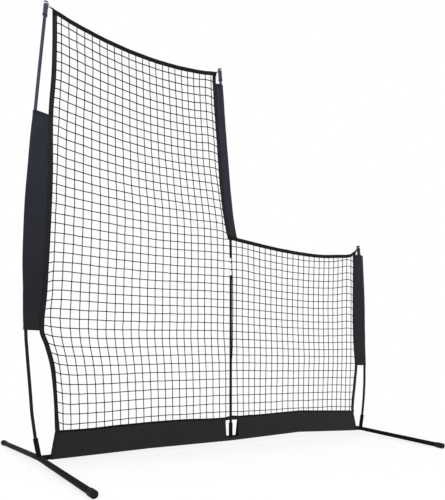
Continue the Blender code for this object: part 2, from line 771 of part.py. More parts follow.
def make_tip_loop(name, pole, top, corner, elastic):
    """Elastic loop: round the cap's groove and back, both strands ending on the webbing's corner."""
    end, along = tip_frame(pole, top)
    middle = end - along * (TIP_HEAD + TIP_GROOVE / 2)
    cord = CORD_DIAMETER / 2
    turn_radius = TIP_GROOVE_RADIUS + cord + CLEARANCE
    away = (middle - corner)
    away = (away - along * away.dot(along)).normalized()
    side = along.cross(away)
    strand = cord + 2 * CLEARANCE
    lead = middle - away * (TIP_DIAMETER / 2 + 2 * cord)
    spread = side * (turn_radius - cord)
    points = [corner - side * strand, lead - spread]
    for i in range(13):
        turn = math.pi * (i / 12 - 0.5)
        points.append(middle + turn_radius * (away * math.cos(turn) + side * math.sin(turn)))
    points += [lead + spread, corner + side * strand]
    curve = bpy.data.curves.new(name, "CURVE")
    curve.dimensions = "3D"
    curve.bevel_depth = cord
    curve.bevel_resolution = 2
    curve.use_fill_caps = True
    spline = curve.splines.new("POLY")
    spline.points.add(len(points) - 1)
    for spot, point in zip(spline.points, points):
        spot.co = (*point, 1.0)
    curve.materials.append(elastic)
    loop = bpy.data.objects.new(name, curve)
    bpy.context.collection.objects.link(loop)


# Net, webbing and fabric

def thicken(bm, thickness):
    """Turn the faces of a surface into a closed sheet with even thickness along Y."""
    made = bmesh.ops.extrude_face_region(bm, geom=bm.faces[:], use_keep_orig=True)
    moved = [item for item in made["geom"] if isinstance(item, bmesh.types.BMVert)]
    bmesh.ops.translate(bm, verts=moved, vec=(0, thickness, 0))
    return bm


def slab(rows, thickness):
    """Closed sheet over rows of points."""
    bm = bmesh.new()
    half = Vector((0, thickness / 2, 0))
    grid = [[bm.verts.new(point - half) for point in row] for row in rows]
    for low, high in zip(grid, grid[1:]):
        for j in range(len(low) - 1):
            bm.faces.new((low[j], low[j + 1], high[j + 1], high[j]))
    return thicken(bm, thickness)


def openwork(rows, posts, thickness):
    """Closed sheet over rows of points, open between each two posts and each two rails.

    A row may be shorter than the last: the sheet then goes on with the columns that both have.
    """
    bm = bmesh.new()
    half = Vector((0, thickness / 2, 0))
    strand = NET_STRAND / 2
    knots = {}
    for low in range(0, len(rows) - 1, ROWS_PER_OPENING):
        high = low + ROWS_PER_OPENING
        for left, right in zip(posts, posts[1:]):
            if right >= len(rows[high]):
                break
            ring = [(low, j) for j in range(left, right)]
            ring += [(i, right) for i in range(low, high)]
            ring += [(high, j) for j in range(right, left, -1)]
            ring += [(i, left) for i in range(high, low, -1)]
            inner = []
            for i, j in ring:
                point = rows[i][j]
                if (i, j) not in knots:
                    knots[i, j] = bm.verts.new(point - half)
                across = ((j == left) - (j == right)) * strand
                up = ((i == low) - (i == high)) * strand
                inner.append(bm.verts.new(on_net(point.x + across, point.z + up) - half))
            outer = [knots[place] for place in ring]
            for k in range(len(ring)):
                bm.faces.new((outer[k - 1], outer[k], inner[k], inner[k - 1]))
    return thicken(bm, thickness)


def on_net(x, height):
    return Vector((x, net_y(x, height), height))


def side_webbing(name, edge, heights, finish):
    """Webbing that runs up the net's side; its width is kept square to its own slant."""
    rows = []
    for height in heights:
        slant = (edge(height + 0.001) - edge(height - 0.001)) / 0.002
        half = WEB_WIDTH / 2 * math.sqrt(1 + slant**2)
        rows.append([on_net(edge(height) - half, height), on_net(edge(height) + half, height)])
    add_object(name, slab(rows, WEB_THICKNESS), finish, smooth=False)


def cross_webbing(name, edge, places, finish):
    rows = [[on_net(x, edge(x) - WEB_WIDTH / 2), on_net(x, edge(x) + WEB_WIDTH / 2)] for x in places]
    add_object(name, slab(rows, WEB_THICKNESS), finish, smooth=False)


def net_rows():
    """Rows of points of the L-shaped net: full width up to the cut-out, then the tall half only.

    A point's height depends on its place across and the other way round, so each is found in passes.
    The third result lists the columns that carry a strand: all but the two beside the band's peak.
    """
    web = WEB_WIDTH / 2 + NET_GAP
    side_web = web * SIDE_SLANT
    corner = NOTCH_CORNER - web
    corner_x = notch_edge(corner) - web

    def left_side(z):
        return tall_edge(z) + side_web

    def right_side(z):
        return short_edge(z) - side_web

    def seam(z):
        if z > corner:
            return notch_edge(z) - web
        foot = band_top(CENTRE_SHIFT)
        return CENTRE_SHIFT + (corner_x - CENTRE_SHIFT) * (z - foot) / (corner - foot)

    def foot_line(x):
        return band_top(x) + NET_GAP

    def shelf_line(x):
        return low_top_edge(x) - web if x > corner_x else corner

    def top_line(x):
        return top_edge(x) - web

    def row(share, bottom, top, parts):
        points = []
        for near, shares in parts:
            for across in shares:
                z = corner
                for _ in range(SETTLING_PASSES):
                    x = near(z) + (seam(z) - near(z)) * across
                    z = bottom(x) + (top(x) - bottom(x)) * share
                points.append(on_net(x, z))
        return points

    tall_stops = [left_side(band_top(-HUB_X)), -HUB_X + LEFT_JOINT_PLACE,
                  CENTRE_SHIFT - BAND_PEAK_HALF, CENTRE_SHIFT]
    short_stops = [right_side(band_top(HUB_X)), CENTRE_SHIFT + RIGHT_JOINT_PLACE,
                   CENTRE_SHIFT + BAND_PEAK_HALF, CENTRE_SHIFT]
    tall_part = (left_side, shares_between(tall_stops))
    short_part = (right_side, shares_between(short_stops)[-2::-1])
    low_count = ROWS_PER_OPENING * math.ceil((corner - BAND_RISE) / NET_ROW / ROWS_PER_OPENING)
    high_count = ROWS_PER_OPENING * math.ceil((TALL_TOP - corner) / NET_ROW / ROWS_PER_OPENING)
    low_rows = [row(i / low_count, foot_line, shelf_line, [tall_part, short_part])
                for i in range(low_count + 1)]
    high_rows = [row(i / high_count, shelf_line, top_line, [tall_part])
                 for i in range(1, high_count + 1)]
    centre = len(tall_part[1]) - 1
    posts = [j for j in range(len(low_rows[0])) if abs(j - centre) != 1]
    return low_rows, high_rows, posts


def shares_between(stops):
    """Shares of the way from the first stop to the last, one at each stop and some between."""
    places = []
    for one, two in zip(stops, stops[1:]):
        count = max(1, round(abs(two - one) / NET_COLUMN))
        places += [one + (two - one) * i / count for i in range(count)]
    places.append(stops[-1])
    return [(x - stops[0]) / (stops[-1] - stops[0]) for x in places]


def make_net(twine, finish):
    """The net, and webbing strips whose breaks match the net's rows and columns."""
    low_rows, high_rows, posts = net_rows()
    add_object("net", openwork(low_rows + high_rows, posts, NET_THICKNESS), twine, smooth=False)
    web = WEB_WIDTH / 2
    top, notch_top, low_top = top_corner_height(), notch_top_height(), short_corner_height()
    left_foot = band_top(tall_edge(band_top(-HUB_X)) + web) + NET_GAP
    right_foot = band_top(short_edge(band_top(HUB_X)) - web) + NET_GAP
    left_rows = [row[0].z for row in low_rows[1:] + high_rows]
    right_rows = [row[-1].z for row in low_rows[1:]]
    notch_rows = [row[-1].z for row in high_rows]
    side_webbing("edge_webbing_left", tall_edge, [left_foot, *left_rows, top], finish)
    side_webbing("edge_webbing_right", short_edge, [right_foot, *right_rows, low_top], finish)
    side_webbing("edge_webbing_notch", notch_edge, [NOTCH_CORNER - web, *notch_rows, notch_top], finish)
    top_start = tall_edge(top) + web * SIDE_SLANT + NET_GAP
    top_end = notch_edge(notch_top) - web * SIDE_SLANT - NET_GAP
    top_places = [point.x for point in high_rows[-1][1:-1]]
    cross_webbing("edge_webbing_top", top_edge, [top_start, *top_places, top_end], finish)
    start = notch_edge(NOTCH_CORNER - web) + web * SIDE_SLANT + 2 * NET_GAP
    end = short_edge(low_top) - web * SIDE_SLANT - 2 * NET_GAP
    places = [point.x for point in low_rows[-1] if start + NET_GAP < point.x < end - NET_GAP]
    cross_webbing("edge_webbing_low_top", low_top_edge, [start, *places, end], finish)
    return left_rows, right_rows, notch_rows


def sleeve_rings(pole, height, left_tip, right_tip, channel):
    """Outer outline and pole channel of a sleeve at one height: a round pocket with two flat wings."""
    pocket = channel + SLEEVE_WALL
    half = SLEEVE_WING / 2
    shoulder = math.asin(half / pocket)
    x = pole(height)
    turns = [shoulder + (math.pi - 2 * shoulder) * i / 6 for i in range(7)]

    def wing_y(tip):
        reach = (abs(tip - x) - pocket) / pocket
        return net_y(tip, height) * max(0.0, min(1.0, reach))

    left_y, right_y = wing_y(left_tip), wing_y(right_tip)
    outer = [Vector((right_tip, right_y + half, height))]
    outer += [Vector((x + pocket * math.cos(t), pocket * math.sin(t), height)) for t in turns]
    outer += [Vector((left_tip, left_y + half, height)), Vector((left_tip, left_y - half, height))]
    outer += [Vector((x - pocket * math.cos(t), -pocket * math.sin(t), height)) for t in turns]
    outer += [Vector((right_tip, right_y - half, height))]
    small = shoulder / 3
    inner_turns = [small] + turns + [math.pi - small, math.pi + small]
    inner_turns += [math.pi + t for t in turns] + [2 * math.pi - small]
    inner = [Vector((x + channel * math.cos(t), channel * math.sin(t), height)) for t in inner_turns]
    return outer, inner


def make_sleeve(name, pole, bottom, top, rows, left_tip, right_tip, channel, finish):
    """Sleeve whose edge breaks at the same heights as the webbing that it is sewn to."""
    spare = SLEEVE_END_STEP
    heights = [bottom, *[height for height in rows if bottom + spare < height < top - spare], top]
    pairs = [sleeve_rings(pole, h, left_tip(h), right_tip(h), channel) for h in heights]
    rings = [outer for outer, _ in pairs] + [inner for _, inner in pairs[::-1]]
    add_object(name, loft(rings, cyclic=True), finish)


def make_sleeves(left_rows, right_rows, notch_rows, finish):
    web = (WEB_WIDTH / 2 + NET_GAP) * SIDE_SLANT
    tall_channel = FERRULE_DIAMETER / 2 + SLEEVE_SPARE
    short_channel = TIP_DIAMETER / 2 + TIP_LIP_STEP + SLEEVE_SPARE
    centre_channel = POLE_RADIUS + SLEEVE_SPARE
    wing = SLEEVE_WALL + SLEEVE_WING_LEAST

    def tall_outer(z):
        return tall_side_pole(z) - tall_channel - wing

    def tall_inner(z):
        return tall_edge(z) - web

    def short_outer(z):
        share = (z - SHORT_SLEEVE_BOTTOM) / (SHORT_SLEEVE_TOP - SHORT_SLEEVE_BOTTOM)
        return short_side_pole(z) + short_channel + wing + SHORT_SLEEVE_FLARE * share**SHORT_FLARE_POWER

    def short_inner(z):
        return short_edge(z) + web

    def centre_left(z):
        return min(notch_edge(z) + web, centre_pole(z) - centre_channel - wing)

    def centre_right(z):
        share = (CENTRE_SLEEVE_TOP - z) / (CENTRE_SLEEVE_TOP - CENTRE_SLEEVE_BOTTOM)
        return centre_pole(z) + centre_channel + wing + CENTRE_SLEEVE_FLARE * share**CENTRE_FLARE_POWER

    make_sleeve("pole_sleeve_left", tall_side_pole, TALL_SLEEVE_BOTTOM, TALL_SLEEVE_TOP, left_rows,
                tall_outer, tall_inner, tall_channel, finish)
    make_sleeve("pole_sleeve_right", short_side_pole, SHORT_SLEEVE_BOTTOM, SHORT_SLEEVE_TOP, right_rows,
                short_inner, short_outer, short_channel, finish)
    make_sleeve("pole_sleeve_centre", centre_pole, CENTRE_SLEEVE_BOTTOM, CENTRE_SLEEVE_TOP, notch_rows,
                centre_left, centre_right, centre_channel, finish)


def make_band(finish):
    """Band above the crossbar, its hem closed round the bar, with a window for the centre socket."""
    points = bar_points()
    left = tall_edge(band_top(-HUB_X)) - WEB_WIDTH / 2
    right = short_edge(band_top(HUB_X)) + WEB_WIDTH / 2
    bore = BAR_RADIUS + CLEARANCE
    skin = bore + HEM_WALL
    ends = [left - BAND_FLARE, right + BAND_FLARE]
    bends = [p.x for p in points[1:4]]
    along = Vector((1, 0, 0))
    stops = [ends[0]] + bends + [ends[1]]
    outer = [Station(Vector((x, 0, bar_height(x))), along, skin) for x in stops]
    inner = [Station(Vector((x, 0, bar_height(x))), along, bore) for x in stops]
    band = add_object("bottom_band", round_tube(outer, inner, UP), finish)

    peak = [CENTRE_SHIFT - BAND_PEAK_HALF, CENTRE_SHIFT, CENTRE_SHIFT + BAND_PEAK_HALF]
    between = [bends[0], *peak, bends[2]]
    columns = [(ends[0], left)] + [(x, x) for x in between] + [(ends[1], right)]
    rows = []
    for low_x, top_x in columns:
        foot = Vector((low_x, 0, bar_height(low_x) + bore + HEM_WALL / 2))
        head = on_net(top_x, band_top(top_x))
        rows.append([foot, head])
    boolean(band, add_object("band_sheet", slab(rows, BAND_THICKNESS), smooth=False), "UNION")

    tee = points[2]
    top = band_top(tee.x) - WINDOW_TOP_MARGIN
    bottom = tee.z + skin + CLEARANCE
    corners = [(-WINDOW_BOTTOM_HALF, bottom), (WINDOW_BOTTOM_HALF, bottom),
               (WINDOW_TOP_HALF, top - WINDOW_CORNER),
               (WINDOW_TOP_HALF - WINDOW_CORNER, top), (-WINDOW_TOP_HALF + WINDOW_CORNER, top),
               (-WINDOW_TOP_HALF, top - WINDOW_CORNER)]
    outline = [Vector((tee.x + x, 0, z)) for x, z in corners]
    window = add_object("band_window", box_sweep(outline, BACK, 0.08), smooth=False)
    boolean(band, window, "DIFFERENCE")
    drill(band, "band_socket_hole", tee, tee + UP * 0.05, SOCKET_RADIUS + CLEARANCE)


def make_base(steel, rubber, plated, spring_steel):
    for side in (LEFT, RIGHT):
        make_hub(side, steel)
        for forward in (True, False):
            make_leg(side, forward, steel)
            make_foot_cap(side, forward, rubber)
        make_outer_bar(side, steel)
        make_inner_bar(side, steel)
        centre = hub_centre(side)
        for name, along, shoulder, radius, outward in hub_joints(side):
            make_button(name, centre, along, shoulder, radius, outward, plated)
            make_spring(name, centre, along, shoulder, radius, outward, spring_steel)
    make_tee(steel)


def make_poles(fibre, bright, black, moulded):
    half = CLEARANCE / 2
    foot = CLEARANCE / math.cos(SOCKET_LEAN)
    cap_floor = TIP_LENGTH - TIP_BORE + 2 * CLEARANCE
    side_foot = pole_floor(LEFT).z + foot + POLE_RADIUS * math.sin(SOCKET_LEAN)
    tee_foot = bar_points()[2].z + BAR_RADIUS + SOCKET_FLOOR + CLEARANCE
    mouth = HUB_HEIGHT + SOCKET_RISE
    joint_low, joint_high = FERRULE_HEIGHT - half, FERRULE_HEIGHT + half
    make_pole("pole_left_lower", tall_side_pole, [side_foot, mouth, joint_low], fibre)
    make_pole("pole_left_upper", tall_side_pole, [joint_high, TALL_TOP - cap_floor], fibre)
    make_pole("pole_centre_lower", centre_pole, [tee_foot, joint_low], fibre)
    make_pole("pole_centre_upper", centre_pole, [joint_high, TALL_TOP - cap_floor], fibre)
    make_pole("pole_right", short_side_pole, [side_foot, mouth, SHORT_TOP - cap_floor], fibre)
    make_ferrule("ferrule_left", tall_side_pole, black)
    make_ferrule("ferrule_centre", centre_pole, bright)
    make_tip_cap("tip_cap_left", tall_side_pole, TALL_TOP, moulded)
    make_tip_cap("tip_cap_centre", centre_pole, TALL_TOP, moulded)
    make_tip_cap("tip_cap_right", short_side_pole, SHORT_TOP, moulded)


def make_loops(elastic):
    web = WEB_WIDTH / 2
    reach = CORD_DIAMETER / 2 + CLEARANCE
    top, notch_top, low = top_corner_height(), notch_top_height(), short_corner_height()
    corners = [
        ("left", tall_side_pole, TALL_TOP, on_net(tall_edge(top) - web + reach, top + reach)),
        ("centre", centre_pole, TALL_TOP, on_net(notch_edge(notch_top) + web - reach, notch_top + reach)),
        ("right", short_side_pole, SHORT_TOP, on_net(short_edge(low) + web - reach, low + reach)),
    ]
    for word, pole, height, corner in corners:
        make_tip_loop("tip_loop_" + word, pole, height, corner, elastic)


def main():
    clear_scene()
    steel = material("black_powder_coat", (0.022, 0.023, 0.025), 0.45)
    rubber = material("black_rubber", (0.015, 0.015, 0.016), 0.8)
    plated = material("plated_button", (0.35, 0.35, 0.36), 0.3, 1.0)
    spring_steel = material("spring_steel", (0.30, 0.31, 0.33), 0.35, 1.0)
    fibre = material("dark_fibreglass", (0.035, 0.040, 0.055), 0.35)
    bright = material("bright_ferrule", (0.80, 0.81, 0.82), 0.3, 0.6)
    moulded = material("dark_moulding", (0.030, 0.034, 0.045), 0.45)
    elastic = material("grey_elastic", (0.45, 0.46, 0.47), 0.8)
    twine = material("net_twine", (0.020, 0.021, 0.022), 0.85)
    webbing = material("black_webbing", (0.012, 0.013, 0.014), 0.8)
    sleeve = material("sleeve_fabric", (0.026, 0.030, 0.040), 0.8)
    band = material("band_fabric", (0.024, 0.025, 0.027), 0.85)
    make_base(steel, rubber, plated, spring_steel)
    make_poles(fibre, bright, steel, moulded)
    make_loops(elastic)
    left_rows, right_rows, notch_rows = make_net(twine, webbing)
    make_sleeves(left_rows, right_rows, notch_rows, sleeve)
    make_band(band)


main()
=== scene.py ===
import math
import random

import bmesh
import bpy
from mathutils import Matrix, Vector


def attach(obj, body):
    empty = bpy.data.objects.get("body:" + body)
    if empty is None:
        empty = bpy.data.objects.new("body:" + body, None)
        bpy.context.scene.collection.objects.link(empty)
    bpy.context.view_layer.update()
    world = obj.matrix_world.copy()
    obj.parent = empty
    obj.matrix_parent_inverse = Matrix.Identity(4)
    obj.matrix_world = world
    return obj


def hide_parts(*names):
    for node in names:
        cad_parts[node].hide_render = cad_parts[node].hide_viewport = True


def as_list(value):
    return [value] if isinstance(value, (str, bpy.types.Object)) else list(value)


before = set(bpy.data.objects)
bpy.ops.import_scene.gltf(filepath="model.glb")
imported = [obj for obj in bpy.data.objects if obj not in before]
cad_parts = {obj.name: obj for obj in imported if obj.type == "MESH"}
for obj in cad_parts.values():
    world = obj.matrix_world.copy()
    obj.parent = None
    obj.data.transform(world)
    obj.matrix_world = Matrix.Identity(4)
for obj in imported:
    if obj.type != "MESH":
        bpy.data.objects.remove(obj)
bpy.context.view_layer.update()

# Camera and picture
CAMERA_PLACE = Vector((-1.3667, -2.0004, 0.4400))
CAMERA_TURN = 0.4745
CAMERA_PITCH = -0.0091
FOCAL_PIXELS = 418.69
CENTRE_PIXEL = (179.77, 372.66)
IMAGE_SIZE = (445, 500)

# Sizes repeated from the solid model
HUB_X = 1.064
TALL_TOP = 2.124
SHORT_TOP = 1.284
HUB_HEIGHT = 0.030
CENTRE_SHIFT = -0.011
CLEARANCE = 0.0003
BAR_RADIUS = 0.012
LEG_RADIUS = 0.0127
LEG_REACH = 0.620
LEG_FRONT_TURN = math.radians(8.0)
LEG_BACK_TURN = math.radians(9.8)
CAP_DIAMETER = 0.031
CAP_GRIP = 0.034
SOLE_DEPTH = 0.0008
SOCKET_RADIUS = 0.01125
POLE_RADIUS = 0.0075
LEFT_JOINT_PLACE = 0.545
RIGHT_JOINT_PLACE = 0.516
LEFT_JOINT_LIFT = 0.0115
CENTRE_LIFT = 0.0125
RIGHT_JOINT_LIFT = 0.0265
SOCKET_RISE = 0.092
SOCKET_LEAN = math.radians(10.5)
TALL_TIP_INSET = 0.037
SHORT_TIP_INSET = 0.030
CENTRE_TIP_LEAN = 0.077
CENTRE_TIP_SLOPE = 0.085
TALL_BOW = ((0.139, 0.043), (0.25, 0.058), (0.339, 0.0585), (0.487, 0.0505), (0.588, 0.040), (0.738, 0.0145))
SHORT_BOW = ((0.205, 0.039), (0.30, 0.0385), (0.411, 0.0315), (0.681, 0.0155))
FERRULE_DIAMETER = 0.018
FERRULE_HEIGHT = 1.023
FERRULE_LENGTH = 0.098
TIP_DIAMETER = 0.0205
TIP_LENGTH = 0.075
TIP_LIP_STEP = 0.0004
TIP_BORE = 0.060
TIP_GROOVE_RADIUS = 0.0068
CORD_DIAMETER = 0.003
WEB_WIDTH = 0.022
RIGHT_WEB_WIDTH = 0.0255
WEB_THICKNESS = 0.003
SIDE_SLANT = 1.06
NET_STANDOFF = 0.0130
STANDOFF_FADE = 0.40
STANDOFF_START = 0.25
TOP_CORNER_DROP = 0.034
TOP_CORNER_FALL = 0.0065
TOP_SAG = 0.0527
NOTCH_CORNER = 1.181
SHORT_CORNER_DROP = 0.052
LOW_TOP_DROPS = ((0.33, 0.019), (0.62, 0.016), (0.81, -0.008), (0.90, -0.0245))
TALL_EDGE_BELOW = ((0.0, 0.081), (0.32, 0.076), (0.64, 0.061), (0.86, 0.035))
TALL_EDGE_BESIDE = ((0.0, 0.013), (0.19, 0.028), (0.69, 0.053))
TALL_EDGE_ABOVE = ((0.0, 0.056), (0.4, 0.070), (0.7, 0.074), (1.0, 0.075))
SHORT_EDGE_BELOW = ((0.0, 0.0845), (0.30, 0.0735), (0.66, 0.0575))
SHORT_EDGE_BESIDE = ((0.0, 0.0460), (0.17, 0.059), (0.40, 0.068), (0.87, 0.068))
SHORT_EDGE_ABOVE = ((1.0, 0.066),)
NOTCH_EDGE = ((0.0, 0.014), (0.08, 0.030), (0.18, 0.044), (0.35, 0.053), (0.65, 0.048), (1.0, 0.043))
NOTCH_EDGE_TOP = 0.036
TALL_SLEEVE_BOTTOM = 0.616
TALL_SLEEVE_TOP = TALL_TOP - 0.512
SHORT_SLEEVE_BOTTOM = 0.465
SHORT_SLEEVE_TOP = SHORT_TOP - 0.072
CENTRE_SLEEVE_TOP = TALL_TOP - 0.096
CENTRE_SLEEVE_BOTTOM = NOTCH_CORNER + WEB_WIDTH / 2 + 0.002
SLEEVE_SPARE = 0.0004
SLEEVE_WALL = 0.0015
SLEEVE_WING_LEAST = 0.0005
SHORT_SLEEVE_FLARE = 0.023
SHORT_FLARE_POWER = 2
CENTRE_SLEEVE_FLARE = 0.026
CENTRE_FLARE_POWER = 8
BAND_RISE = 0.1165
BAND_PEAK = 0.007
BAND_PEAK_HALF = 0.055
BAND_EASE = ((-1.05, -0.0030), (-0.97, -0.0025), (-0.85, -0.0045), (-0.78, -0.0030), (-0.70, 0.0), (-0.60, 0.0010),
             (-0.50, 0.0028), (-0.35, 0.0045), (-0.27, 0.0038), (-0.18, 0.0006), (-0.07, 0.0), (0.0, 0.0020),
             (0.10, 0.0030), (0.17, 0.0004))
HEM_WALL = 0.0016
BAND_FLARE = 0.018
WINDOW_TOP = (-0.044, 0.038)
WINDOW_BOTTOM = (-0.038, 0.041)
WINDOW_TOP_MARGIN = 0.018
WINDOW_CORNER = 0.006


# Lines of the frame and the net, as in the solid model

def smooth_line(points, first_slope=None):
    """Curve through (place, value) points, as a function of the place, level beyond both ends."""
    heights = [p[0] for p in points]
    values = [p[1] for p in points]
    slopes = []
    for i in range(len(points)):
        low, high = max(i - 1, 0), min(i + 1, len(points) - 1)
        slopes.append((values[high] - values[low]) / (heights[high] - heights[low]))
    if first_slope is not None:
        slopes[0] = first_slope

    def value_at(height):
        height = min(max(height, heights[0]), heights[-1])
        i = 0
        while i < len(points) - 2 and height > heights[i + 1]:
            i += 1
        span = heights[i + 1] - heights[i]
        return hermite(height, heights[i], span, values[i], values[i + 1], slopes[i], slopes[i + 1])

    return value_at


def hermite(place, start, span, first, last, first_slope, last_slope):
    t = (place - start) / span
    rise = 3 * t**2 - 2 * t**3
    lead = (t - 2 * t**2 + t**3) * first_slope * span
    trail = (t**3 - t**2) * last_slope * span
    return first + (last - first) * rise + lead + trail


def clamp(value):
    return max(0.0, min(1.0, value))


def eased(share):
    return share * share * (3 - 2 * share)


def stretch(start, end, pairs):
    """Pairs of (share, value) as (place, value) between two places."""
    return [(start + (end - start) * share, value) for share, value in pairs]


def levels(bottom, top, step):
    count = max(2, math.ceil((top - bottom) / step))
    return [bottom + (top - bottom) * i / count for i in range(count + 1)]


# Crossbar line

def bar_points():
    """Hub, joint, tee, joint and hub along the crossbar's middle line."""
    places = ((-HUB_X, 0), (-HUB_X + LEFT_JOINT_PLACE, LEFT_JOINT_LIFT), (CENTRE_SHIFT, CENTRE_LIFT),
              (CENTRE_SHIFT + RIGHT_JOINT_PLACE, RIGHT_JOINT_LIFT), (HUB_X, 0))
    return [Vector((x, 0, HUB_HEIGHT + lift)) for x, lift in places]


def bar_height(x):
    points = bar_points()
    for one, two in zip(points, points[1:]):
        if x <= two.x:
            break
    return one.z + (two.z - one.z) * (x - one.x) / (two.x - one.x)


def band_top(x):
    """Top edge of the band, lifted to a low peak where the centre pole passes behind it."""
    away = min(abs(x - CENTRE_SHIFT) / BAND_PEAK_HALF, 1.0)
    return bar_height(x) + BAND_RISE + BAND_PEAK * (1 - away) + smooth_line(BAND_EASE)(x)


# Pole lines, each a function that gives x at a height

def side_pole(top, bow, tip_inset):
    """Distance of a side pole outside the hub line: straight in its socket, then bowed."""
    mouth = HUB_HEIGHT + SOCKET_RISE
    slope = math.tan(SOCKET_LEAN)
    free = smooth_line([(mouth, SOCKET_RISE * slope), *stretch(mouth, top, bow), (top, -tip_inset)], slope)

    def offset_at(height):
        if height < mouth:
            return (height - HUB_HEIGHT) * slope
        return free(height)

    return offset_at


TALL_POLE_LINE = side_pole(TALL_TOP, TALL_BOW, TALL_TIP_INSET)
SHORT_POLE_LINE = side_pole(SHORT_TOP, SHORT_BOW, SHORT_TIP_INSET)


def tall_side_pole(height):
    return -HUB_X - TALL_POLE_LINE(height)


def short_side_pole(height):
    return HUB_X + SHORT_POLE_LINE(height)


def centre_pole(height):
    """Straight up to its ferrule, then leaning to the left."""
    if height < FERRULE_HEIGHT:
        return CENTRE_SHIFT
    tip = CENTRE_SHIFT - CENTRE_TIP_LEAN
    return hermite(height, FERRULE_HEIGHT, TALL_TOP - FERRULE_HEIGHT, CENTRE_SHIFT, tip, 0.0, -CENTRE_TIP_SLOPE)


# Net edges, each a function that gives the middle line of the webbing

def side_inset(heights, below, beside, above):
    """Inset of an upright edge below, beside and above its sleeve; heights are foot, sleeve's ends and corner."""
    parts = zip(heights, heights[1:], (below, beside, above))
    return smooth_line([point for low, high, pairs in parts for point in stretch(low, high, pairs)])


def tall_edge(height):
    heights = band_top(-HUB_X), TALL_SLEEVE_BOTTOM, TALL_SLEEVE_TOP, top_corner_height()
    return -HUB_X + side_inset(heights, TALL_EDGE_BELOW, TALL_EDGE_BESIDE, TALL_EDGE_ABOVE)(height)


def short_edge(height):
    heights = band_top(HUB_X), SHORT_SLEEVE_BOTTOM, SHORT_SLEEVE_TOP, short_corner_height()
    return HUB_X - side_inset(heights, SHORT_EDGE_BELOW, SHORT_EDGE_BESIDE, SHORT_EDGE_ABOVE)(height)


def notch_edge(height):
    """Webbing beside the centre pole, which it crosses in front of at the corner of the cut-out."""
    points = stretch(NOTCH_CORNER - WEB_WIDTH / 2, CENTRE_SLEEVE_TOP, NOTCH_EDGE)
    points.append((notch_top_height(), NOTCH_EDGE_TOP))
    return centre_pole(height) - smooth_line(points)(height)


def top_corner_height():
    return TALL_TOP - TOP_CORNER_DROP + WEB_WIDTH / 2


def notch_top_height():
    """The net hangs a little lower from the centre pole than from the side pole."""
    return top_corner_height() - TOP_CORNER_FALL


def short_corner_height():
    return SHORT_TOP - SHORT_CORNER_DROP + WEB_WIDTH / 2


def top_edge(x):
    left, right = tall_edge(top_corner_height()), notch_edge(notch_top_height())
    t = (x - left) / (right - left)
    chord = top_corner_height() - TOP_CORNER_FALL * t - WEB_WIDTH / 2
    return chord - 4 * TOP_SAG * t * (1 - t)


def low_top_edge(x):
    points = [(place, NOTCH_CORNER - drop) for place, drop in stretch(CENTRE_SHIFT, HUB_X, LOW_TOP_DROPS)]
    corner = short_edge(short_corner_height()), short_corner_height() - WEB_WIDTH / 2
    return smooth_line([(CENTRE_SHIFT, NOTCH_CORNER), *points, corner])(x)


def notch_clear_height():
    """Height from which the cut-out's webbing stands beside the centre pole instead of before it."""
    return NOTCH_CORNER + STANDOFF_START * (CENTRE_SLEEVE_TOP - NOTCH_CORNER)


def net_y(x, height):
    """How far the cloth stands in front of the pole line: most at the centre pole, none at the sides."""
    middle = CENTRE_SHIFT
    side = -HUB_X if x < middle else HUB_X
    nearness = clamp((x - side) / (middle - side))
    return -NET_STANDOFF * nearness * clamp((notch_clear_height() + STANDOFF_FADE - height) / STANDOFF_FADE)


# Mesh building

DEPTH = Vector((0, 1, 0))
SMOOTH_ANGLE = 50


class Shape:
    """Points and faces of one piece, with up to two pairs of cloth coordinates at each face corner."""

    def __init__(self):
        self.points = []
        self.faces = []
        self.corners = []

    def ring(self, points):
        start = len(self.points)
        self.points += [tuple(p) for p in points]
        return start

    def face(self, corners, places):
        self.faces.append(tuple(corners))
        self.corners.append(tuple(places))

    def skin(self, rings, place, around=True, ends=False):
        """Skin over rings of equal length; place(i, j) gives the cloth coordinates of a corner."""
        count = len(rings[0])
        starts = [self.ring(ring) for ring in rings]
        for i in range(len(rings) - 1):
            for j in range(count if around else count - 1):
                k = (j + 1) % count
                self.face((starts[i] + j, starts[i] + k, starts[i + 1] + k, starts[i + 1] + j),
                          (place(i, j), place(i, j + 1), place(i + 1, j + 1), place(i + 1, j)))
        if ends:
            for i, step in ((0, -1), (len(rings) - 1, 1)):
                order = range(count)[::step]
                self.face([starts[i] + j for j in order], [place(i, j) for j in order])
        return starts

    def join(self, ring_one, ring_two, count, place_one, place_two):
        """Rim between two rings of the same length."""
        for j in range(count):
            k = (j + 1) % count
            self.face((ring_one + j, ring_one + k, ring_two + k, ring_two + j),
                      (place_one(j), place_one(j + 1), place_two(j + 1), place_two(j)))

    def finish(self, name, finish, slot, node=None, smooth_angle=SMOOTH_ANGLE):
        """Make the piece, put it on the frame and hide the CAD node it stands for; slot is not used."""
        mesh = bpy.data.meshes.new(name)
        mesh.from_pydata(self.points, [], self.faces)
        cloth = mesh.uv_layers.new(name="cloth")
        edge = mesh.uv_layers.new(name="edge")
        flat = [corner for face in self.corners for corner in face]
        cloth.data.foreach_set("uv", [value for corner in flat for value in corner[:2]])
        edge.data.foreach_set("uv", [value for corner in flat for value in (corner[2:4] or (1.0, 1.0))])
        bm = bmesh.new()
        bm.from_mesh(mesh)
        bmesh.ops.recalc_face_normals(bm, faces=bm.faces)
        bm.to_mesh(mesh)
        bm.free()
        mesh.shade_smooth()
        mesh.set_sharp_from_angle(angle=math.radians(smooth_angle))
        mesh.materials.append(finish)
        piece = add_object(name, mesh)
        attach(piece, "frame_and_net")
        if node:
            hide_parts(node)
        return piece


def add_object(name, data):
    made = bpy.data.objects.new(name, data)
    bpy.context.collection.objects.link(made)
    return made


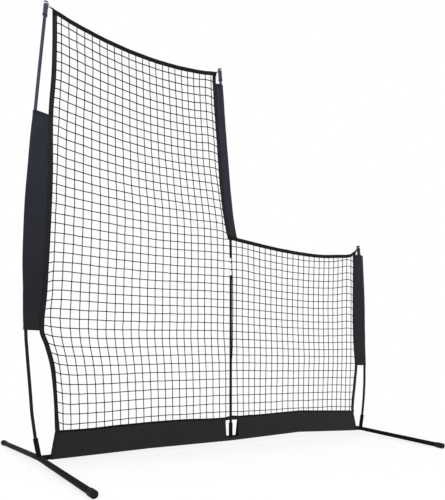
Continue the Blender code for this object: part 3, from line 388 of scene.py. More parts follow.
def circle(sides):
    """Cosine and sine of the turn to each corner of a ring."""
    return [(math.cos(t), math.sin(t)) for t in (2 * math.pi * j / sides for j in range(sides))]


def square_to(run, up):
    """Unit vectors up and across that are square to a run."""
    up = (up - run * up.dot(run)).normalized()
    return up, run.cross(up)


def run_at(path, i, closed=False):
    """Direction of a path at one of its points."""
    if closed:
        return (path[(i + 1) % len(path)] - path[i - 1]).normalized()
    return (path[min(i + 1, len(path) - 1)] - path[max(i - 1, 0)]).normalized()


def running_length(points):
    total = [0.0]
    for one, two in zip(points, points[1:]):
        total.append(total[-1] + (Vector(two) - Vector(one)).length)
    return total


def rings_along(path, towards, sides, sizes, closed=False):
    """Rings round a path; sizes(i) gives their half sizes towards a direction and across it."""
    rings, turns = [], circle(sides)
    for i, point in enumerate(path):
        up, across = square_to(run_at(path, i, closed), towards)
        tall, thick = sizes(i)
        rings.append([point + up * c * tall + across * s * thick for c, s in turns])
    return rings + rings[:1] if closed else rings


def tube(shape, path, radius, sides):
    """Round tube along a path, its coordinates the turn round it and the length along it."""
    lengths = running_length(path)
    shape.skin(rings_along(path, DEPTH, sides, lambda i: (radius, radius)),
               lambda i, j: (j / sides, lengths[i]), ends=True)


# Net of knotted twine: the strands' places in the picture plane, then set back to the net's own depth

PICTURE_DEPTH = -0.003
TWINE = 0.0047
TALL_COLUMNS = 23
LOW_COLUMNS = 23
TALL_ROWS = 43
LOW_ROWS = 22
FIRST_COLUMN = smooth_line([(0.21, -0.956), (0.30, -0.959), (0.40, -0.966), (0.49, -0.979), (0.576, -1.002),
                            (0.66, -1.013), (0.795, -1.004), (0.97, -0.995), (1.27, -0.984), (1.56, -0.974),
                            (1.85, -0.959), (2.01, -0.960)])
SECOND_COLUMN = smooth_line([(0.21, -0.920), (0.30, -0.922), (0.40, -0.928), (0.49, -0.941), (0.576, -0.961),
                             (0.66, -0.969), (0.795, -0.962), (0.97, -0.953), (1.27, -0.943), (1.56, -0.936),
                             (1.85, -0.923), (2.01, -0.925)])
LAST_COLUMN = smooth_line([(0.21, -0.046), (0.40, -0.047), (0.49, -0.050), (0.576, -0.056), (0.66, -0.061),
                           (1.10, -0.061), (1.27, -0.070), (1.395, -0.090), (1.564, -0.116), (1.69, -0.125),
                           (1.854, -0.138), (2.0, -0.146)])
CENTRE_COLUMN = smooth_line([(0.20, -0.017), (0.27, -0.021), (0.33, -0.020), (0.44, -0.011), (0.52, -0.004),
                             (0.62, -0.0005), (0.82, 0.0005), (0.96, -0.002), (1.03, -0.007), (1.10, -0.012),
                             (1.16, -0.015)])
LOW_FOOT = smooth_line([(0, 0.035), (5, 0.237), (10, 0.454), (15, 0.663), (22, 0.953)])
LOW_MIDDLE = smooth_line([(0, 0.026), (5, 0.235), (10, 0.447), (15, 0.665), (21, 0.921), (22, 0.964)])
LOW_HEAD = smooth_line([(0, 0.025), (5, 0.233), (10, 0.450), (13, 0.583), (17, 0.757), (21, 0.922), (22, 0.961)])
LOW_COLUMN_HEIGHTS = (0.22, 0.68, 0.94, 1.11)
# Heights of rows 1, 5, 10, 20 and 22, and in the tall half of rows 30 and 43, at places across the net
ROWS_MEASURED = (1, 5, 10, 20, 22, 30, 43)
ROW_STATIONS = (
    (-0.95, (0.177, 0.366, 0.588, 1.029, 1.117, 1.472, 2.040)),
    (-0.76, (0.182, 0.366, 0.589, 1.027, 1.114, 1.455, 2.005)),
    (-0.52, (0.194, 0.375, 0.597, 1.028, 1.112, 1.450, 1.992)),
    (-0.29, (0.195, 0.379, 0.605, 1.038, 1.122, 1.460, 2.008)),
    (-0.16, (0.197, 0.381, 0.609, 1.047, 1.132, 1.472, 2.037)),
    (-0.03, (0.195, 0.383, 0.611, 1.052, 1.140)),
    (0.05, (0.193, 0.384, 0.611, 1.055, 1.142)),
    (0.22, (0.192, 0.382, 0.610, 1.045, 1.129)),
    (0.43, (0.194, 0.382, 0.608, 1.040, 1.123)),
    (0.65, (0.191, 0.382, 0.609, 1.047, 1.130)),
    (0.82, (0.191, 0.382, 0.614, 1.065, 1.151)),
    (0.92, (0.183, 0.380, 0.620, 1.088, 1.175)),
)
# The rows above row 30 bulge up a little at the second of those places
BULGE_PLACE, BULGE_START = -0.76, 30
BULGE = smooth_line([(30, 0.0), (34, 0.0035), (41, 0.0040), (43, 0.0010)])
# Above the band the left webbing folds in on its inner side: the share of its width that shows
PINCH_TOP = 0.44
PINCH = smooth_line([(0.0, 1.0), (0.17, 1.0), (0.21, 0.87), (0.25, 0.81), (0.34, 0.83), (0.40, 0.93),
                     (PINCH_TOP, 1.0)])
COLUMN_SHIFT = smooth_line([(0.22, -0.0030), (0.30, -0.0036), (0.40, -0.0035), (0.50, -0.0020), (0.60, 0.0025),
                            (0.70, 0.0078), (0.80, 0.0055), (0.90, 0.0035), (1.00, 0.0042), (1.10, 0.0035),
                            (1.25, 0.0030), (1.40, 0.0010), (1.50, 0.0030), (1.65, 0.0010), (1.80, 0.0)])
LOW_COLUMN_SHIFT = smooth_line([(0.22, 0.0), (0.27, 0.0008), (0.395, 0.0045), (0.52, 0.0085), (0.64, 0.0035),
                                (0.76, 0.0)])
FIRST_COLUMN_LIFT = smooth_line([(0.22, 0.0045), (0.476, 0.0045), (0.617, 0.0040), (0.70, 0.0), (0.758, -0.0030),
                                 (0.898, -0.0040), (1.04, -0.0010), (1.18, 0.0020), (1.32, 0.0050), (1.46, 0.0068),
                                 (1.60, 0.0055), (1.80, 0.0025), (1.95, 0.0010)])
LEFT_END_LIFT = smooth_line([(1, 0.010), (10, 0.010), (12, 0.0), (14, -0.009), (18, -0.009), (21, 0.0)])
RIGHT_END_DROP = smooth_line([(11, 0.0), (14, 0.009)])
NOTCH_END_DROP = 0.007
SEWN_IN = 0.004
KNOT_JITTER_UP = 0.0012
KNOT_JITTER_ACROSS = 0.0008
STRAND_JITTER = 0.0005
SHIFT_POWER = 0.6
CROSSING_PASSES = 6
KNOT_SIZES = (0.76, 0.88)
KNOT_RINGS, KNOT_SIDES = 5, 6
KNOT_DEPTH, KNOT_LENGTH, KNOT_WIDTH, KNOT_TURN = 0.85, 1.12, 0.9, 1.08
STRAND_SIDES = 5


def row_line(row):
    """Height of a row as a function of the place across."""
    points = []
    for place, heights in ROW_STATIONS:
        if row > LOW_ROWS and len(heights) < len(ROWS_MEASURED):
            break
        height = smooth_line(list(zip(ROWS_MEASURED, heights)))(row)
        if place == BULGE_PLACE and row > BULGE_START:
            height += BULGE(row)
        points.append((place, height))
    return smooth_line(points)


def column_place(column, height):
    """Place across of a vertical strand at a height; column 1 is next to the left webbing."""
    if column == 1:
        return FIRST_COLUMN(height)
    if column <= TALL_COLUMNS:
        share = (column - 2) / (TALL_COLUMNS - 2)
        drift = COLUMN_SHIFT(height) * max(0.0, math.sin(math.pi * share))**SHIFT_POWER
        return SECOND_COLUMN(height) * (1 - share) + LAST_COLUMN(height) * share + drift
    if column == TALL_COLUMNS + 1:
        return CENTRE_COLUMN(height)
    order = column - TALL_COLUMNS - 2
    low, middle, top = LOW_FOOT(order), LOW_MIDDLE(order), LOW_HEAD(order)
    drift = LOW_COLUMN_SHIFT(height) * math.sin(math.pi * order / LOW_COLUMNS)**SHIFT_POWER
    return smooth_line(list(zip(LOW_COLUMN_HEIGHTS, (low, middle, middle, top))))(height) + drift


def on_net(x, z):
    return Vector((x, net_y(x, z), z))


def set_back(x, z):
    """Point of the net whose picture falls at a place of the picture plane."""
    y = net_y(x, z)
    share = (y - PICTURE_DEPTH) / (PICTURE_DEPTH - CAMERA_PLACE.y)
    return Vector((x + share * (x - CAMERA_PLACE.x), y, z + share * (z - CAMERA_PLACE.z)))


def net_knots(chance):
    """Knots by (row, column)."""
    knots = {}
    for row in range(1, TALL_ROWS + 1):
        line = row_line(row)
        last = TALL_COLUMNS + 1 + LOW_COLUMNS if row <= LOW_ROWS else TALL_COLUMNS
        for column in range(1, last + 1):
            z = line(0.0)
            for _ in range(CROSSING_PASSES):
                x = column_place(column, z)
                z = line(x)
            if column == 1:
                z += FIRST_COLUMN_LIFT(z)
            knots[row, column] = set_back(x + chance.uniform(-1, 1) * KNOT_JITTER_ACROSS,
                                          z + chance.uniform(-1, 1) * KNOT_JITTER_UP)
    return knots


def wavy(path, chance):
    """Path with a point between each two, set a little to one side."""
    points = [path[0]]
    for one, two in zip(path, path[1:]):
        along = (two - one).normalized()
        side = Vector((along.z, 0, -along.x))
        middle = (one + two) / 2 + side * chance.uniform(-1, 1) * STRAND_JITTER
        middle.y += chance.uniform(-1, 1) * STRAND_JITTER
        points += [middle, two]
    return points


def pinched(height):
    """Share of the left webbing's width that shows at a height."""
    return PINCH(height) if height < PINCH_TOP else 1.0


def strand_ends(knots):
    """Each strand's points with its two sewn ends: rows first, then columns."""
    web = WEB_WIDTH / 2
    side_web = web * SIDE_SLANT
    strands = []
    for row in range(1, TALL_ROWS + 1):
        path = [knots[key] for key in sorted(knots) if key[0] == row]
        z = path[0].z + LEFT_END_LIFT(row)
        start = on_net(tall_edge(z) + side_web * (2 * pinched(z) - 1) - SEWN_IN, z)
        if row <= LOW_ROWS:
            z = path[-1].z - RIGHT_END_DROP(row)
            edge = short_edge(z)
        else:
            z = max(path[-1].z - NOTCH_END_DROP, NOTCH_CORNER - web + SEWN_IN)
            edge = notch_edge(z)
        strands.append([start, *path, on_net(edge - side_web + SEWN_IN, z)])
    for column in range(1, TALL_COLUMNS + 2 + LOW_COLUMNS):
        path = [knots[key] for key in sorted(knots) if key[1] == column]
        x = path[0].x
        foot = on_net(x, band_top(x) - SEWN_IN)
        x = 1.5 * path[-1].x - 0.5 * path[-2].x
        if column <= TALL_COLUMNS:
            edge = top_edge(x)
        elif column == TALL_COLUMNS + 1:
            edge = NOTCH_CORNER
        else:
            edge = low_top_edge(x)
        strands.append([foot, *path, on_net(x, edge - web + SEWN_IN)])
    return strands


def add_knot(shape, middle, chance):
    """Small lump of two turns of twine round the crossing."""
    turn = chance.uniform(0, math.pi)
    size = TWINE * chance.uniform(*KNOT_SIZES)
    across = Vector((math.cos(turn), 0, math.sin(turn)))
    up = Vector((-math.sin(turn), 0, math.cos(turn)))
    rings = []
    for i in range(KNOT_RINGS):
        lean = math.pi * (i + 0.5) / KNOT_RINGS
        level = middle + DEPTH * math.cos(lean) * size * KNOT_DEPTH
        spread = math.sin(lean) * size * (1.0 if i % 2 else KNOT_TURN)
        rings.append([level + spread * (across * c * KNOT_LENGTH + up * s * KNOT_WIDTH)
                      for c, s in circle(KNOT_SIDES)])
    shape.skin(rings, lambda i, j: (j / KNOT_SIDES, i * size / 2), ends=True)


def make_net(finish):
    chance = random.Random(7)
    shape = Shape()
    knots = net_knots(chance)
    for strand in strand_ends(knots):
        tube(shape, wavy(strand, chance), TWINE / 2, STRAND_SIDES)
    for middle in knots.values():
        add_knot(shape, middle, chance)
    return shape.finish("knotted_net", finish, "twine", "net")


# Webbing

RIBBON_STEP = 0.012
RIBBON_PROFILE = ((-1.0, 0.0), (-0.95, 0.62), (-0.80, 0.86), (-0.30, 1.0), (0.30, 1.0), (0.80, 0.86), (0.95, 0.62))
RIBBON_WAVE = 0.0004
# Each wave's share, times the phase, and turn from one step to the next
RIBBON_SWAYS = ((1.0, 1.0, 0.55), (0.6, 1.7, 1.31))
SLOPE_STEP = 0.001
TUCK = 0.002
LAP = WEB_THICKNESS / 2 + 0.0001
FOOT_LAP = 0.008
# Laps at a strip's end: depth, length that lies flat, length of the slope
BEHIND = (LAP, WEB_WIDTH, 0.06)
BEFORE = (-LAP, WEB_WIDTH, 0.06)
ON_BAND = (-0.0046, 0.010, 0.018)


def slope(line, height):
    return (line(height + SLOPE_STEP) - line(height - SLOPE_STEP)) / (2 * SLOPE_STEP)


def ribbon(shape, centres, sides, half_thickness, chance, wave=RIBBON_WAVE, plain_sides=None):
    """Flat strip with rounded edges; sides are half-width vectors, and its face looks along Y.

    plain_sides(i) names the side, -1 or 1, that has no dark border because cloth is sewn on there.
    """
    profile = list(RIBBON_PROFILE) + [(-u, -t) for u, t in RIBBON_PROFILE]
    phase = chance.uniform(0, 6)
    rings = []
    for i, (centre, side) in enumerate(zip(centres, sides)):
        sway = wave * sum(share * math.sin(lead * phase + i * turn) for share, lead, turn in RIBBON_SWAYS)
        thick = half_thickness(i) if callable(half_thickness) else half_thickness
        rings.append([centre + side * u + DEPTH * (thick * t + sway) for u, t in profile])
    lengths = running_length(centres)
    widths = [side.length for side in sides]

    def place(i, j):
        u = profile[j % len(profile)][0]
        border = 1 - abs(u)
        if plain_sides and plain_sides(i) * u > 0:
            border = 1.0
        return (u + 1) * widths[i], lengths[i], border * widths[i], min(lengths[i], lengths[-1] - lengths[i])

    shape.skin(rings, place, ends=True)
    return lengths[-1]


def lapped(points, ends):
    """Points moved in depth near both ends."""
    lengths = running_length(points)
    moved = []
    for point, run in zip(points, lengths):
        shift = sum(depth * eased(clamp(1 - (away - flat) / fade))
                    for away, (depth, flat, fade) in zip((run, lengths[-1] - run), ends))
        moved.append(point + DEPTH * shift)
    return moved


def side_strip(edge, bottom, top, width=WEB_WIDTH, share=None):
    """Middle points and half-width vectors of an upright strip, and so for one that runs across."""
    centres, sides = [], []
    for height in levels(bottom, top, RIBBON_STEP):
        half = width / 2 * math.sqrt(1 + slope(edge, height)**2)
        shown = share(height) if share else 1.0
        centres.append(on_net(edge(height) - half * (1 - shown), height))
        sides.append(Vector((half * shown, 0, 0)))
    return centres, sides


def cross_strip(edge, start, end):
    centres = [on_net(x, edge(x)) for x in levels(start, end, RIBBON_STEP)]
    return centres, [Vector((0, 0, WEB_WIDTH / 2))] * len(centres)


def make_webbing(upright, cross):
    """Five strips; the two that run across lie over the ends of the three upright ones."""
    chance = random.Random(11)
    web = WEB_WIDTH / 2
    top, notch_top, low_top = top_corner_height(), notch_top_height(), short_corner_height()
    left_foot = band_top(tall_edge(band_top(-HUB_X)) + web) - FOOT_LAP
    right_foot = band_top(short_edge(band_top(HUB_X)) - web) - FOOT_LAP

    def under(edge, x):
        return min(edge(x - web), edge(x + web)) + web - TUCK

    left_end = under(top_edge, tall_edge(top))
    right_end = under(low_top_edge, short_edge(low_top))
    # Each strip's line, the laps at its ends, its finish and the side and heights where a sleeve is sewn on
    strips = {
        "left": (side_strip(tall_edge, left_foot, left_end, share=pinched), (ON_BAND, BEHIND), upright,
                 -1, TALL_SLEEVE_BOTTOM, TALL_SLEEVE_TOP),
        "right": (side_strip(short_edge, right_foot, right_end, RIGHT_WEB_WIDTH), (ON_BAND, BEHIND), upright,
                  1, SHORT_SLEEVE_BOTTOM, SHORT_SLEEVE_TOP),
        "notch": (side_strip(notch_edge, NOTCH_CORNER - web + TUCK, notch_top - TUCK), (BEHIND, BEHIND), upright,
                  1, CENTRE_SLEEVE_BOTTOM, CENTRE_SLEEVE_TOP),
        "top": (cross_strip(top_edge, tall_edge(top) - web, notch_edge(notch_top) + web), (BEFORE, BEFORE), cross,
                0, 0.0, 0.0),
        "low_top": (cross_strip(low_top_edge, notch_edge(NOTCH_CORNER) - web, short_edge(low_top) + web),
                    (BEFORE, BEFORE), cross, 0, 0.0, 0.0),
    }
    made = {}
    for word, ((centres, sides), ends, finish, sewn_side, sewn_low, sewn_high) in strips.items():

        def plain(i, line=centres, side=sewn_side, low=sewn_low, high=sewn_high):
            return side if low < line[i].z < high else 0

        shape = Shape()
        length = ribbon(shape, lapped(centres, ends), sides, WEB_THICKNESS / 2, chance, plain_sides=plain)
        made[word] = shape.finish("webbing_" + word, finish, "webbing", "edge_webbing_" + word), length
    return made


# Moulded caps, elastic loops and corner tabs at the pole tips

CAP_RADIUS = 0.0108
CAP_LIP_RADIUS = 0.0116
CAP_LIP = 0.0045
CAP_LENGTH = 0.0653
CAP_HEAD = 0.0096
CAP_GROOVE = 0.0062
CAP_DROP = 0.0007
CAP_SIDES = 40
CAP_SMOOTH_ANGLE = 35
TAB_HALF = 0.0007
TAB_STEPS = 4
TAB_END_DEPTH = 0.0012
TAB_FOLD_HALF = 0.0022
TAB_INNER = (0.011, -0.012)
TAB_GAP = 0.0003
# Bends of a tab: shares of the way from the corner to its inner end and to the eyelet
TAB_KNOTS = (0.3, 0.4)
TAB_OVERHANG = 0.0004
TAB_END_WIDTH, TAB_END_THICK = 0.7, 0.55
RING_HALF_WIDTH = 0.0027
RING_HALF_THICKNESS = 0.0023
LOOP_RADIUS = TIP_GROOVE_RADIUS + RING_HALF_THICKNESS + CLEARANCE
EYELET_RADIUS = 0.0022
LOOP_SIDES = 10
LOOP_HALF_STEPS = 12
EYELET_STEPS = 8
STRAIGHT_STEPS = 5


def tip_ring(pole, top):
    """Middle and direction of the groove in a tip cap."""
    along = Vector((slope(pole, top - TIP_LENGTH / 2), 0, 1)).normalized()
    return Vector((pole(top), 0, top)) - along * (CAP_DROP + CAP_HEAD + CAP_GROOVE / 2), along


def make_caps(blue, black):
    """Moulded caps: a domed head, a groove for the loop, and a body with a lip round its mouth."""
    floor = TIP_LENGTH - TIP_BORE - CAP_DROP
    groove_end = CAP_HEAD + CAP_GROOVE
    lip = CAP_LENGTH - CAP_LIP
    bore = POLE_RADIUS + CLEARANCE
    # Depth under the tip and radius, down the outside and up the bore
    profile = [
        (0.0002, 0.0024), (0.0004, 0.0046), (0.0010, 0.0068), (0.0020, 0.0086), (0.0032, 0.0100),
        (0.0044, CAP_RADIUS), (CAP_HEAD - 0.0008, CAP_RADIUS), (CAP_HEAD, CAP_RADIUS - 0.0008),
        (CAP_HEAD + 0.0006, TIP_GROOVE_RADIUS + 0.0004), (CAP_HEAD + 0.0012, TIP_GROOVE_RADIUS),
        (groove_end - 0.0012, TIP_GROOVE_RADIUS), (groove_end - 0.0006, TIP_GROOVE_RADIUS + 0.0004),
        (groove_end, CAP_RADIUS - 0.0010), (groove_end + 0.0010, CAP_RADIUS), (0.040, CAP_RADIUS - 0.0003),
        (lip - 0.0012, CAP_RADIUS - 0.0002), (lip, CAP_LIP_RADIUS - 0.0003), (lip + 0.0008, CAP_LIP_RADIUS),
        (CAP_LENGTH - 0.0008, CAP_LIP_RADIUS), (CAP_LENGTH, CAP_LIP_RADIUS - 0.0008),
        (CAP_LENGTH, bore + 0.0006), (CAP_LENGTH - 0.0006, bore), (floor, bore),
    ]
    for word, pole, top, finish in (("left", tall_side_pole, TALL_TOP, blue), ("centre", centre_pole, TALL_TOP, blue),
                                    ("right", short_side_pole, SHORT_TOP, black)):
        along = tip_ring(pole, top)[1]
        end = Vector((pole(top), 0, top)) - along * CAP_DROP
        across = along.cross(DEPTH)
        rings = [[end - along * depth + radius * (DEPTH * c + across * s) for c, s in circle(CAP_SIDES)]
                 for depth, radius in profile]
        shape = Shape()
        shape.skin(rings, lambda i, j: (j / CAP_SIDES, profile[i][0], 1.0, 1.0), ends=True)
        shape.finish("cap_" + word, finish, "moulding", "tip_cap_" + word, CAP_SMOOTH_ANGLE)


def add_loop(word, middle, along, eyelet, finish):
    """Closed elastic loop round the cap's groove and through the end of the tab."""
    away = middle - eyelet
    wide = math.pi / 2 + math.asin((LOOP_RADIUS - EYELET_RADIUS) / away.length)
    away = (away - along * away.dot(along)).normalized()
    side = along.cross(away)

    def arc(centre, radius, turns):
        return [centre + radius * (away * math.cos(turn) + side * math.sin(turn)) for turn in turns]

    def straight(one, two):
        return [one + (two - one) * i / STRAIGHT_STEPS for i in range(1, STRAIGHT_STEPS)]

    ring = arc(middle, LOOP_RADIUS, [wide * (i / LOOP_HALF_STEPS - 1) for i in range(2 * LOOP_HALF_STEPS + 1)])
    small = arc(eyelet, EYELET_RADIUS,
                [wide + (2 * math.pi - 2 * wide) * i / EYELET_STEPS for i in range(EYELET_STEPS + 1)])
    path = ring + straight(ring[-1], small[0]) + small + straight(small[-1], ring[0])
    on_ring = [1.0] * len(ring) + [0.0] * (len(path) - len(ring)) + [1.0]
    cord = CORD_DIAMETER / 2

    def sizes(i):
        return [cord + (half - cord) * on_ring[i] for half in (RING_HALF_WIDTH, RING_HALF_THICKNESS)]

    lengths = running_length(path + [path[0]])
    shape = Shape()
    shape.skin(rings_along(path, along, LOOP_SIDES, sizes, closed=True),
               lambda i, j: (j / LOOP_SIDES, lengths[i], on_ring[i], 1.0))
    shape.finish("loop_" + word, finish, "elastic", "tip_loop_" + word)


def stepped(ends):
    """Even steps from each value to the next, and the last value."""
    steps = [one + (two - one) * step / TAB_STEPS for one, two in zip(ends, ends[1:]) for step in range(TAB_STEPS)]
    return steps + [ends[-1]]


def add_tab(word, points, widths, thick, finish, chance):
    """Tape that is sewn on the net's corner and folded round the loop."""
    sides = []
    for i, width in enumerate(widths):
        run = run_at(points, i)
        sides.append(Vector((-run.z, 0, run.x)).normalized() * width)
    shape = Shape()
    ribbon(shape, points, sides, lambda i: thick[i], chance, wave=0.0)
    return shape.finish("corner_tab_" + word, finish, "webbing")


def make_tips(elastic, webbing):
    """Loop and tab at each of the three poles."""
    chance = random.Random(13)
    web = WEB_WIDTH / 2
    top, notch_top, low = top_corner_height(), notch_top_height(), short_corner_height()
    front = -2 * LAP - TAB_HALF - TAB_GAP
    depths = [front, front, -TAB_END_DEPTH]
    thicks = [TAB_HALF, TAB_HALF, TAB_FOLD_HALF, CORD_DIAMETER / 2 + TAB_HALF]
    # Corner's place, direction into the net, tab's share of the way to the groove, and its half widths
    places = [
        ("left", tall_side_pole, TALL_TOP, tall_edge(top) - web, top, 1, 0.30, (0.0055, 0.0050, 0.0036, 0.0026)),
        ("centre", centre_pole, TALL_TOP, notch_edge(notch_top) + web, notch_top, -1, 0.12,
         (0.0050, 0.0045, 0.0034, 0.0026)),
        ("right", short_side_pole, SHORT_TOP, short_edge(low) + web, low, -1, 0.84,
         (0.0060, 0.0062, 0.0050, 0.0030)),
    ]
    tabs = {}
    for word, pole, height, x, z, inward, share, widths in places:
        middle, along = tip_ring(pole, height)
        corner = Vector((x, 0, z))
        inner = corner + Vector((inward * TAB_INNER[0], 0, TAB_INNER[1]))
        groove = middle - (middle - corner).normalized() * LOOP_RADIUS
        eyelet = corner + (groove - corner) * share
        knots = [inner, corner + (inner - corner) * TAB_KNOTS[0], corner + (eyelet - corner) * TAB_KNOTS[1], eyelet]
        last = eyelet + (eyelet - knots[2]).normalized() * (CORD_DIAMETER / 2 + TAB_OVERHANG)
        for knot, depth in zip(knots, depths):
            knot.y = depth
        tabs[word] = add_tab(word, stepped(knots) + [last], stepped(widths) + [widths[3] * TAB_END_WIDTH],
                             stepped(thicks) + [thicks[3] * TAB_END_THICK], webbing, chance)
        add_loop(word, middle, along, eyelet, elastic)
    return tabs


# Fabric sleeves and band: one cloth folded round a pole or bar and closed along a flat tip

CLOTH_THICKNESS = 0.0009
TIP_HALF = 0.0011
TIP_SHARES = (0, 0.5, 1)
HEM_DEPTH = 0.012
HEM_EXTRA = 0.0003
HEM_EDGE = 0.0006
STRAIGHT_POINTS = 9
ARC_POINTS = 9
# Folds across the flat parts: length, lean and weight
FOLDS = ((0.23, 1.6, 0.45), (0.105, -2.1, 0.30), (0.055, 2.9, 0.25))
SLEEVE_STEP = 0.014
SLEEVE_FOLD = 0.0016
SEAM_LAP = 0.005
SEAM_DEPTH = WEB_THICKNESS / 2 + TIP_HALF + CLOTH_THICKNESS / 2 + 0.0003
CHANNEL_FADE = 0.03
SHORT_WING = 0.0025
CENTRE_TIP_GAP = 0.004
SHORT_SLEEVE_RISE = 0.006
CENTRE_SLEEVE_RISE = 0.005
# Slack of the sleeves beyond their poles, by height
TALL_LOOSE = smooth_line([(0.70, 0.0), (0.80, 0.0014), (0.914, 0.0054), (1.05, 0.0060), (1.20, 0.0050),
                          (1.35, 0.0026), (1.50, 0.0024), (1.60, 0.0003)])
CENTRE_LOOSE = smooth_line([(1.25, 0.0098), (1.317, 0.0080), (1.386, 0.0071), (1.48, 0.0046), (1.66, 0.0028),
                            (1.80, 0.0002), (1.94, 0.0037), (2.03, 0.0035)])


def tangent_turn(centre, radius, tip, tip_radius, side):
    """Turn of the outward normal where the cloth leaves the round part towards a tip."""
    reach = tip - centre
    lean = math.acos(max(-1.0, min(1.0, (radius - tip_radius) / reach.length)))
    return math.atan2(reach.y, reach.x) + side * lean


def unit(turn):
    return Vector((math.cos(turn), math.sin(turn)))


def flat_part(one, one_radius, two, two_radius, turn, bulge):
    """Points between two circles along their tangent, pushed outwards by bulge(share)."""
    normal = unit(turn)
    start, end = one + one_radius * normal, two + two_radius * normal
    shares = [i / (STRAIGHT_POINTS + 1) for i in range(1, STRAIGHT_POINTS + 1)]
    return [start + (end - start) * share + normal * bulge(share) for share in shares]


def folded_outline(centre, radius, tips, grow, bulge):
    """Two halves, from the first tip on, of the outline of cloth round a circle and one or two tips.

    Points are in the plane of the section. bulge(side, tip, share) pushes the flat parts outwards.
    """
    big, small = radius + grow, TIP_HALF + grow
    turns = [math.atan2((tip - centre).y, (tip - centre).x) for tip in tips]
    halves = []
    for side in (-1, 1):
        leave = tangent_turn(centre, big, tips[0], small, side)
        line = [tips[0] + small * unit(turns[0] + (leave - turns[0]) * s) for s in TIP_SHARES]
        line += flat_part(tips[0], small, centre, big, leave, lambda share: bulge(side, 0, share))
        arrive = turns[0] + side * math.pi
        if len(tips) > 1:
            arrive = tangent_turn(centre, big, tips[1], small, -side)
        while side * (arrive - leave) < 0:
            arrive += side * 2 * math.pi
        while side * (arrive - leave) > 2 * math.pi:
            arrive -= side * 2 * math.pi
        line += [centre + big * unit(leave + (arrive - leave) * i / (ARC_POINTS - 1)) for i in range(ARC_POINTS)]
        if len(tips) > 1:
            line += flat_part(centre, big, tips[1], small, arrive, lambda share: bulge(side, 1, 1 - share))
            rest = math.remainder(turns[1] - arrive, 2 * math.pi)
            line += [tips[1] + small * unit(arrive + rest * s) for s in TIP_SHARES]
        halves.append(line)
    return halves


def folded_shell(shape, sections, to_space, lengths):
    """Hollow cloth over sections of (centre, radius, tips, bulge); returns its mean width when laid flat."""
    starts, places = {}, {}
    for layer, grow in (("outer", CLOTH_THICKNESS / 2), ("inner", -CLOTH_THICKNESS / 2)):
        rings, places[layer] = [], []
        for i, (centre, radius, tips, bulge) in enumerate(sections):
            near_end = min(lengths[i], lengths[-1] - lengths[i])
            hem = HEM_EXTRA if layer == "outer" and near_end < HEM_DEPTH else 0.0
            front, back = folded_outline(centre, radius, tips, grow + hem, bulge)
            run, back_run = (running_length([(p.x, p.y, 0) for p in half]) for half in (front, back))
            u = run + back_run[-2:0:-1] + [0.0]
            far = [run[-1] - v for v in run] + [back_run[-1] - v for v in back_run[-2:0:-1]] + [run[-1]]
            rings.append([to_space(p, i) for p in front + back[-2:0:-1]])
            places[layer].append([(a, lengths[i], min(a, b), near_end) for a, b in zip(u, far)])
        starts[layer] = shape.skin(rings, lambda i, j, p=places[layer]: p[i][j])
    for end in (0, -1):
        shape.join(starts["outer"][end], starts["inner"][end], len(rings[0]),
                   lambda j, p=places["outer"][end]: p[j], lambda j, p=places["inner"][end]: p[j])
    widths = [max(corner[0] for corner in row) * 2 for row in places["outer"]]
    return sum(widths) / len(widths)


def fold_waves(chance, amount):
    """Soft outward folds across the flat parts of a sleeve, as a function of height, side and share."""
    parts = [(chance.uniform(0, 6), *fold) for fold in FOLDS]

    def bulge_at(height):
        def bulge(side, tip, share):
            total = 0.5
            for phase, length, lean, weight in parts:
                total += 0.5 * weight * math.sin(2 * math.pi * height / length + phase + lean * share + side + tip)
            return amount * total * math.sin(math.pi * share)
        return bulge

    return bulge_at


def hem_levels(bottom, top, step):
    inside = levels(bottom + HEM_DEPTH + HEM_EDGE, top - HEM_DEPTH - HEM_EDGE, step)
    return [bottom, bottom + HEM_DEPTH - HEM_EDGE, *inside, top - HEM_DEPTH + HEM_EDGE, top]


def add_sleeve(word, pole, bottom, top, inner_tip, outer_tip, channel, finish, chance):
    """Sleeve round a pole, its closed edge sewn on the back of the webbing."""
    heights = hem_levels(bottom, top, SLEEVE_STEP)
    waves = fold_waves(chance, SLEEVE_FOLD)
    sections = []
    for height in heights:
        x, inner, outer = pole(height), inner_tip(height), outer_tip(height)
        seam = Vector((inner, net_y(inner, height) + SEAM_DEPTH))
        towards = 1 if outer > x else -1
        tips = [seam, Vector((outer - towards * (TIP_HALF + CLOTH_THICKNESS / 2), 0))]
        sections.append((Vector((x, 0)), channel(height) + CLOTH_THICKNESS / 2, tips, waves(height)))
    shape = Shape()
    width = folded_shell(shape, sections, lambda p, i: Vector((p.x, p.y, heights[i])), [h - bottom for h in heights])
    return shape.finish("sleeve_" + word, finish, "sleeve", "pole_sleeve_" + word), (width, top - bottom)


def swell(height, low, high, small, big):
    """Channel radius that widens over a stretch of the pole."""
    outside = max(low - height, height - high, 0.0) / CHANNEL_FADE
    return small + (big - small) * eased(max(0.0, 1 - outside))


